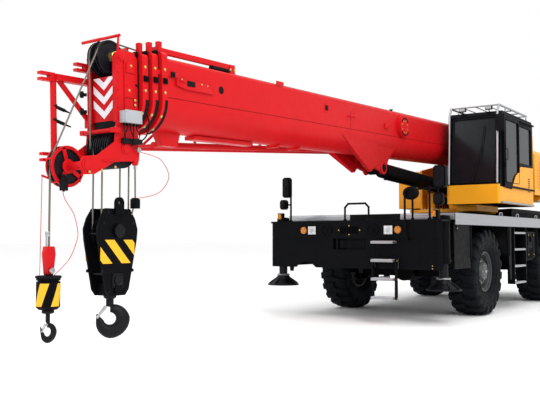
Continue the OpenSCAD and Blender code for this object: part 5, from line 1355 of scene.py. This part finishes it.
def rear_end():
    lens, rims, amber = Build(), Build(), Build()
    for side in SIDES:
        rims.block(vec(BACK - 0.01, side * 1.22, 1.33), Y, Z, (0.4, 0.17, 0.02), 0.006)
        lens.block(vec(BACK - 0.022, side * 1.13, 1.33), Y, Z, (0.17, 0.12, 0.016), 0.008)
        amber.block(vec(BACK - 0.022, side * 1.3, 1.33), Y, Z, (0.13, 0.12, 0.016), 0.008)
        lens.block(vec(BACK - 0.005, side * 0.85, 1.33), Y, Z, (0.1, 0.06, 0.008), 0.003)
    lens.done("tail_lenses", REDLENS, "carrier")
    amber.done("tail_amber", AMBER, "carrier")
    for y in (-0.56, 0.56):
        rims.tube([vec(BACK - 0.001, y, 0.87), vec(BACK - 0.001, y, 1.59)], 0.0025, 6)
    rims.block(vec(BACK - 0.004, 0.0, 1.4), Y, Z, (0.52, 0.13, 0.008), 0.002)
    rims.done("tail_fittings", BLACK, "carrier", 30)
    pin = Build()
    pin.lathe([(0, -0.14), (0.02, -0.14), (0.023, -0.13), (0.023, 0.1), (0.04, 0.102),
               (0.04, 0.118), (0, 0.12)],
              vec(BACK - 0.07, 0, 1.05), Z, 24)
    pin.done("hitch_pin", STEEL, "carrier")
    hood = Build()
    lo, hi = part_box("engine_hood")
    for side in SIDES:
        for x in (lo[0] + 0.3, lo[0] + 0.95, lo[0] + 1.6):
            hood.handle(vec(x, side * hi[1], 1.84), X, Y * side, 0.16)
        hood.tube([vec(lo[0] + 0.02, side * 0.52, hi[2]), vec(lo[0] + 2.0, side * 0.52, hi[2])], 0.003, 6)
    hood.done("hood_handles", BLACK, "carrier")


deck_dress()
side_boxes()
rear_end()


# Cab
def loop(made, points, radius, sides=8):
    """A seal that follows a closed outline."""
    points = [Vector(p) for p in points]
    return made.tube(points + [points[0], points[0].lerp(points[1], 0.02)], radius, sides)


def cab_dress():
    x0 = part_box("cab_shell")[0][0]
    x1 = at(-0.7, 0, 0).x
    lean = 0.0806
    rise = vec(-lean, 0, 1).normalized()
    screen = vec(x1 - lean * 0.645 + 0.001, CAB_MID, 2.945)
    seals = Build()
    loop(seals, [screen + Y * a + rise * b for a, b in rounded(0.408, 0.6, 0.05)], 0.014)
    for y, way in ((0.479, -1), (1.46, 1)):
        w0, w1 = (x0 + 0.12, x1 - 0.33) if way < 0 else (x0 + 0.11, x0 + 0.935)
        z0, z1 = (2.4, 3.51) if way < 0 else (2.77, 3.5)
        mid = vec((w0 + w1) / 2, y, (z0 + z1) / 2)
        loop(seals, [mid + X * a + Z * b for a, b in rounded((w1 - w0) / 2, (z1 - z0) / 2, 0.05)],
             0.0035 if way > 0 else 0.01)
    mid = vec(x0 - 0.001, CAB_MID, 3.12)
    loop(seals, [mid + Y * a + Z * b for a, b in rounded(0.39, 0.39, 0.05)], 0.01)
    seals.done("cab_seals", RUBBER_AND_SHADE, "upper_works")
    wipers = Build()
    root = screen + Y * -0.02 - rise * 0.56 + X * 0.02
    tip = screen + Y * 0.16 + rise * 0.1 + X * 0.022
    wipers.lathe(cap(0.03, 0.018, 0.016, 0.026), root - X * 0.012, X, 20)
    wipers.tube([root, root.lerp(tip, 0.5) + X * 0.012, tip], 0.007, 8)
    wipers.tube([tip - rise * 0.34 - Y * 0.03, tip + rise * 0.34 + Y * 0.03], 0.008, 8)
    wipers.tube([tip - rise * 0.34 - Y * 0.03 - X * 0.01,
                 tip + rise * 0.34 + Y * 0.03 - X * 0.01], 0.0045, 6)
    wipers.done("cab_wiper", RUBBER_AND_SHADE, "upper_works")
    # Side mirror with its arm
    mirror = Build()
    spot = at(-0.66, 1.5, 3.41)
    mirror.block(spot, Y, Z, (0.15, 0.31, 0.06), 0.018)
    mirror.block(spot + X * 0.032, Y, Z, (0.12, 0.28, 0.02), 0.009)
    mirror.tube([at(-0.8, 1.46, 3.44), at(-0.73, 1.48, 3.44), at(-0.69, 1.5, 3.44)], 0.012, 10)
    mirror.done("cab_mirror", TRIM, "upper_works", slot="black_paint")
    face = Build()
    face.prism(rounded(0.062, 0.14, 0.015), spot - X * 0.0305, Y, Z, -0.002)
    face.done("cab_mirror_glass", MIRROR, "upper_works")
    beacon = Build()
    base = vec(x0 + 0.42, 1.15, 3.66)
    beacon.lathe([(0.052, 0.03), (0.052, 0.085), (0.044, 0.104), (0.024, 0.114), (0, 0.116)], base, Z, 28)
    beacon.done("cab_beacon", AMBER, "upper_works", 50)
    foot = Build()
    foot.lathe(cap(0.062, 0.012, 0.054, 0.03, -0.001), base, Z, 28)
    for y in (0.72, 1.22):
        spot = vec(x1 - 0.16, y, 3.735)
        foot.block(spot, Y, Z, (0.13, 0.085, 0.06), 0.01)
        foot.tube([spot - Z * 0.04, spot - Z * 0.075 - X * 0.04], 0.01, 8)
    foot.block(vec(x0 + 0.22, 0.8, 3.69), X, Y, (0.3, 0.4, 0.06), 0.012)
    foot.done("cab_roof_fittings", TRIM, "upper_works", 30)
    lens = Build()
    for y in (0.72, 1.22):
        lens.block(vec(x1 - 0.127, y, 3.735), Y, Z, (0.11, 0.065, 0.008), 0.003)
    lens.done("cab_work_lamps", LENS, "upper_works")
    # Slots on the yellow quarter, drawn as black strips of painted shade standing for the openings; a
    # ribbed ledge below
    slots = Build()
    for k in range(7):
        slots.block(at(-2.46, 1.4615, 2.24 + 0.042 * k), X, Z, (0.12, 0.016, 0.006), 0.002)
    slots.done("quarter_slot_shade", RUBBER_AND_SHADE, "upper_works")
    ledge = Build()
    ledge.box((x0 + 0.1, 1.452, 1.953), (x1 - 0.02, 1.512, 1.985), 0.008)
    for k in range(14):
        ledge.box((x0 + 0.18 + 0.13 * k, 1.458, 1.985), (x0 + 0.25 + 0.13 * k, 1.506, 1.9885), 0.001)
    ledge.done("cab_ledge", ALLOY, "upper_works")
    rail = Build()
    bends = ((-2.79, 2.55), (-2.84, 2.6), (-2.86, 2.8), (-2.86, 3.3), (-2.84, 3.42), (-2.79, 3.46))
    for across in ((1.36, 1.4, 1.42, 1.42, 1.41, 1.37), (1.05,) * 6):
        rail.tube(smooth_path([at(x, y, z) for (x, z), y in zip(bends, across)], 6), 0.016, 10)
    rail.done("cab_rear_rails", YELLOW, "upper_works")
    dlo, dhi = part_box("cab_door")
    door = Build()
    mid = vec((dlo[0] + dhi[0]) / 2, dhi[1] + 0.001, (dlo[2] + dhi[2]) / 2)
    w, h = (dhi[0] - dlo[0]) / 2 - 0.058, (dhi[2] - dlo[2]) / 2 - 0.058
    loop(door, [mid + X * a + Z * b for a, b in rounded(w, h, 0.04)], 0.009)
    grip = vec(dhi[0] - 0.035, dhi[1], mid.z - 0.18)
    door.handle(grip, Z, Y, 0.2)
    door.block(grip + Y * 0.008 - Z * 0.08, X, Z, (0.045, 0.09, 0.018), 0.006)
    door.done("door_fittings", TRIM, "cab_door")
    sweep = Build()
    edge = [(0.004, 0.004), (0.46, 0.004), (0.4, 0.065), (0.33, 0.145), (0.25, 0.215), (0.14, 0.262),
            (0.004, 0.285)]
    sweep.prism(edge, vec(dlo[0], dhi[1] + 0.006, dlo[2]), X, Z, 0.0065, 0.002)
    sweep.done("door_sweep", YELLOW, "cab_door")


def seat_and_controls():
    """Driver's seat with sewn cushions, armrest boxes, levers, wheel and console."""
    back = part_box("cab_fittings")[0][0]

    def cushion(name, centre, size, lean, ridges):
        cols, rows = 16, 12
        verts, faces = [], []
        turn = Matrix.Rotation(lean, 3, "Y")
        for layer in (1, -1):
            for i in range(rows + 1):
                for j in range(cols + 1):
                    a, b = 2 * i / rows - 1, 2 * j / cols - 1
                    edge = max(0.0, 1 - max(abs(a), abs(b)) ** 6)
                    crown = edge ** 0.5 * (0.78 + 0.22 * cos(a * pi / 2) * cos(b * pi / 2))
                    crown -= 0.1 * edge * sum(exp(-((b - r) / 0.05) ** 2) for r in ridges)
                    pull = 1 - 0.05 * (1 - abs(a * b))
                    p = vec(a * size[0] / 2 * pull, b * size[1] / 2 * pull, layer * size[2] / 2 * crown)
                    verts.append(centre + turn @ p)
        n = cols + 1
        for layer in (0, 1):
            off = layer * n * (rows + 1)
            for i in range(rows):
                for j in range(cols):
                    q = (off + i * n + j, off + i * n + j + 1, off + (i + 1) * n + j + 1,
                         off + (i + 1) * n + j)
                    faces.append(q if layer == 0 else q[::-1])
        made = Build().add(verts, faces)
        bmesh.ops.remove_doubles(made.mesh, verts=made.mesh.verts, dist=0.0008)
        piece = made.done(name, FABRIC, "upper_works", 70)
        return piece

    seat = cushion("seat_cushion", vec(back + 0.34, CAB_MID, CAB_FLOOR + 0.5), (0.5, 0.48, 0.15),
                   -0.06, (-0.5, 0.5))
    cushion("seat_back", vec(back + 0.1, CAB_MID, CAB_FLOOR + 0.84), (0.6, 0.46, 0.13),
            -1.42, (-0.5, 0.5))
    cushion("seat_head", vec(back + 0.045, CAB_MID, CAB_FLOOR + 1.22), (0.18, 0.28, 0.09), -1.45, ())
    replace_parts(seat, "cab_fittings")
    base = Build()
    base.box((back + 0.12, 0.76, CAB_FLOOR), (back + 0.52, 1.18, CAB_FLOOR + 0.3), 0.02)
    base.box((back + 0.1, 0.74, CAB_FLOOR + 0.32), (back + 0.56, 1.2, CAB_FLOOR + 0.42), 0.015)
    for y in (0.645, 1.215):
        base.box((back + 0.1, y, CAB_FLOOR + 0.44), (back + 0.62, y + 0.08, CAB_FLOOR + 0.66), 0.02)
        base.tube([vec(back + 0.55, y + 0.04, CAB_FLOOR + 0.64),
                   vec(back + 0.57, y + 0.04, CAB_FLOOR + 0.8)], 0.012, 10)
        base.lathe([(0, -0.03), (0.024, -0.02), (0.03, 0.0), (0.022, 0.026), (0, 0.032)],
                   vec(back + 0.572, y + 0.04, CAB_FLOOR + 0.82), Z, 16)
    base.prism([(0, 0), (0.16, 0), (0.16, 0.4), (0.05, 0.62), (-0.06, 0.6)],
               vec(back + 0.98, 1.2, CAB_FLOOR), X, Z, 0.46, 0.02)
    base.tube([vec(back + 0.98, CAB_MID, CAB_FLOOR + 0.55),
               vec(back + 0.84, CAB_MID, CAB_FLOOR + 0.78)], 0.03, 12)
    hub = vec(back + 0.83, CAB_MID, CAB_FLOOR + 0.8)
    way = vec(-0.52, 0, 0.85).normalized()
    side = Y
    up = way.cross(side)
    loop(base, arc(hub, side, up, 0.2, 0, 345, 30), 0.014, 10)
    for a in (90, 210, 330):
        r = radians(a)
        base.tube([hub, hub + side * (0.195 * cos(r)) + up * (0.195 * sin(r))], 0.01, 8)
    base.block(vec(back + 1.02, 0.62, CAB_FLOOR + 0.86), Y, Z, (0.16, 0.22, 0.05), 0.012)
    base.done("cab_controls", TRIM, "upper_works", 35)


cab_dress()
seat_and_controls()


# Upper works, winches and lift cylinder
def upper_dress():
    slew = Vector(JOINTS["slew"]["pos_m"])
    bolts = Build()
    for k in range(44):
        a = 2 * pi * k / 44
        place = vec(slew.x + 0.66 * cos(a), 0.66 * sin(a), 0)
        if place.x > slew.x + 0.565 or abs(place.y) > 0.625:
            bolts.bolt(place + Z * TABLE_TOP, Z, 0.016, 0.016)
    for side in SIDES:
        y = side * PLATE_OUT
        for x, z in ((0.5, 1.95), (0.5, 2.1), (0.2, 2.2), (-0.2, 2.35), (-0.55, 2.62), (-0.8, 2.9)):
            bolts.bolt(vec(slew.x + x, y, z), Y * side, 0.016, 0.014)
        bolts.round_bolts(PIVOT + Y * y, X, Z, 0.115, 8, Y * side, 0.012, 0.012)
        bolts.lathe([(0.075, 0), (0.075, 0.01), (0.055, 0.016), (0.055, 0.024), (0, 0.024)],
                    PIVOT + Y * (y + side * 0.02), Y * side, 30)
    bolts.done("table_bolts", STEEL, "upper_works", 30)
    ribs = Build()
    for side in SIDES:
        y = side * PLATE_OUT
        ribs.lathe(cap(0.15, 0.012, 0.142, 0.018), PIVOT + Y * y, Y * side, 40)
        ribs.block(vec(slew.x - 0.1, y + side * 0.01, 2.02), X, Z, (0.9, 0.035, 0.022), 0.005)
        ribs.prism([(-0.1, -0.11), (0.1, -0.11), (0.05, 0.02), (0, 0.1), (-0.05, 0.02)],
                   vec(slew.x + 0.05, y - side * 0.002, 2.36), X, Z, -0.02 * side, 0.005)
    ribs.done("table_ribs", YELLOW, "upper_works", 30)
    hoses = Build()
    bends = ((0.45, 1.0, 0.01), (0.42, 1.1, 0.16), (0.22, 1.2, 0.24), (-0.05, 1.1, 0.16),
             (-0.3, 1.0, 0.02))
    for k in range(5):
        y = 0.1 - 0.05 * k
        hoses.tube(smooth_path([vec(slew.x + x, y * wide, TABLE_TOP + z) for x, wide,
                                z in bends], 8), 0.014, 8)
    hoses.done("table_hoses", RUBBER_AND_SHADE, "upper_works")
    coils = Build()
    for x, z in ((PIVOT.x - 0.8, 2.74), (PIVOT.x - 1.21, 2.41)):
        half = PLATE_OUT - 0.04 - 0.075
        turns = int(2 * half / 0.0185)
        path = []
        for k in range(turns * 20 + 1):
            a = 2 * pi * k / 20
            path.append(vec(x + 0.179 * cos(a), -half + 0.0185 * k / 20, z + 0.179 * sin(a)))
        coils.tube(path, 0.0092, 6)
    coils.done("winch_rope", ROPE, "upper_works", 60)
    lo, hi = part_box("counterweight")
    marks = Build()
    for side in SIDES:
        for z in (lo[2] + 0.2, hi[2] - 0.25):
            marks.bolt(vec(lo[0] + 0.35, side * hi[1], z), Y * side, 0.02, 0.018)
        for x in (lo[0] + 0.3, hi[0] - 0.12):
            eye = vec(x, side * 0.75, hi[2])
            bends = ((-0.05, 0), (-0.05, 0.05), (0, 0.085), (0.05, 0.05), (0.05, 0))
            marks.tube(smooth_path([eye + X * a + Z * b for a, b in bends], 5), 0.013, 10)
    marks.done("weight_eyes", STEEL, "upper_works", 40)
    doors = Build()
    y = 1.38
    for x in (slew.x - 2.05, slew.x - 1.55):
        doors.tube([vec(x, y + 0.001, 2.32), vec(x, y + 0.001, 2.95)], 0.003, 6)
    doors.block(vec(slew.x - 1.75, y + 0.01, 2.9), X, Z, (0.12, 0.035, 0.02), 0.006)
    doors.block(vec(slew.x - 1.3, -1.258, 2.4), X, Z, (0.035, 0.1, 0.018), 0.005)
    for x in (slew.x - 1.28, slew.x - 0.4):
        doors.tube([vec(x, -1.251, 2.05), vec(x, -1.251, 2.6)], 0.003, 6)
    doors.done("housing_doors", BLACK, "upper_works", 30)


def lift_dress():
    base = Vector(JOINTS["lift_barrel_swing"]["pos_m"])
    way = Vector(JOINTS["lift_rod_slide"]["axis"])
    up = way.cross(Y) * -1
    pin = boom(4.417, 0, -0.426)
    end = (pin - base).length - 0.26
    ring = Build()
    ring.lathe([(0.126, -0.1), (0.134, -0.096), (0.134, -0.01), (0.126, -0.001), (0.092, 0.004),
                (0.092, 0.0)], base + way * end, way, 40, True)
    ring.lathe([(0.126, -0.01), (0.132, -0.006), (0.132, 0.03), (0.126, 0.034)],
               base + way * 0.24, way, 40, True)
    ring.round_bolts(base + way * (end - 0.001), Y, up, 0.112, 12, way, 0.009, 0.009)
    ring.tube([base + way * 0.3 + up * 0.14, base + way * (end - 0.14) + up * 0.14], 0.014, 10)
    for t in (0.34, 0.85, end - 0.16):
        ring.block(base + way * t + up * 0.138, way, Y, (0.05, 0.06, 0.036), 0.006)
    ring.done("lift_gland", BLACK, "lift_barrel", 35)
    caps = Build()
    for side in SIDES:
        caps.lathe([(0.074, 0), (0.074, 0.01), (0.052, 0.016), (0.052, 0.022), (0, 0.022)],
                   pin + Y * (side * 0.165), Y * side, 30)
        caps.bolt(pin + Y * (side * 0.174) + X * 0.055, Y * side, 0.01, 0.009)
    caps.done("lift_pin_caps", BLACK, "boom", 30)
    eye = Build()
    eye.lathe([(0.06, -0.0925), (0.104, -0.0925), (0.108, -0.086), (0.108, 0.086), (0.104, 0.0925),
               (0.06, 0.0925)], pin, Y, 40, True)
    eye.done("lift_eye", BLACK, "lift_rod")
    rings = Build()
    for side in SIDES:
        rings.lathe([(0.075, 0.0), (0.112, 0.0), (0.112, 0.01), (0.104, 0.016), (0.075, 0.016)],
                    pin + Y * (side * 0.165), Y * side, 40, True)
    rings.done("lift_lug_rings", RED, "boom")


upper_dress()
lift_dress()


# Outriggers
def jack_dress(corner):
    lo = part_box(f"jack_{corner}")[0]
    mid = middle(f"jack_{corner}")
    low, top = (end[2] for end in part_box(f"beam_{corner}"))
    bands = Build()
    bands.lathe([(0.1055, -0.03), (0.116, -0.028), (0.116, 0.028), (0.1055, 0.03)],
                vec(mid.x, mid.y, low + 0.05), Z, 36, True)
    bands.lathe([(0.1055, -0.02), (0.114, -0.018), (0.114, 0.018), (0.1055, 0.02)],
                vec(mid.x, mid.y, top - 0.07), Z, 36, True)
    bands.lathe(cap(0.092, 0.006, 0.07, 0.012, -0.001), vec(mid.x, mid.y, top), Z, 36)
    bands.done(f"jack_bands_{corner}", BLACK, f"beam_{corner}")
    bolts = Build()
    bolts.round_bolts(vec(mid.x, mid.y, top + 0.006), X, Y, 0.078, 6, Z, 0.009, 0.008)
    bolts.done(f"jack_bolts_{corner}", STEEL, f"beam_{corner}", 30)
    foot = Build()
    foot.lathe([(0.072, 0.0), (0.108, 0.002), (0.112, 0.012), (0.104, 0.022), (0.072, 0.026)],
               vec(mid.x, mid.y, lo[2] + 0.168), Z, 36, True)
    foot.round_bolts(vec(mid.x, mid.y, lo[2] + 0.188), X, Y, 0.092, 4, Z, 0.009, 0.009, 45)
    foot.done(f"jack_ball_{corner}", STEEL, f"jack_{corner}", 35)


for corner in CORNERS:
    jack_dress(corner)


# Floor and light
def make_stage():
    bpy.ops.mesh.primitive_plane_add(size=300.0, location=(0, 0, 0))
    floor = bpy.context.object
    floor.name = "floor"
    m = Nodes("pale_floor")
    m.color(m.ramp(m.noise(0.6), [(0.3, (0.965, 0.965, 0.965)), (0.7, (0.98, 0.98, 0.98))]))
    m.set(Roughness=0.8)
    floor.data.materials.append(m.mat)
    world = bpy.data.worlds.new("studio")
    scene.world = world
    world.use_nodes = True
    world.node_tree.nodes["Background"].inputs["Color"].default_value = (1.0, 1.0, 1.0, 1.0)
    world.node_tree.nodes["Background"].inputs["Strength"].default_value = 1.0
    lamps = [
        ("key", at(14, 14, 16), 9.0, 2600.0),
        ("fill", at(16, -10, 9), 9.0, 500.0),
        ("top", at(0, 2, 20), 12.0, 900.0),
    ]
    for name, place, size, power in lamps:
        light = bpy.data.lights.new(name, "AREA")
        light.size = size
        light.energy = power
        lamp = bpy.data.objects.new(name, light)
        lamp.location = place
        lamp.rotation_mode = "QUATERNION"
        lamp.rotation_quaternion = (at(1.0, 0, 1.8) - place).to_track_quat("-Z", "Y")
        scene.collection.objects.link(lamp)
    scene.view_settings.view_transform = "Standard"


make_stage()
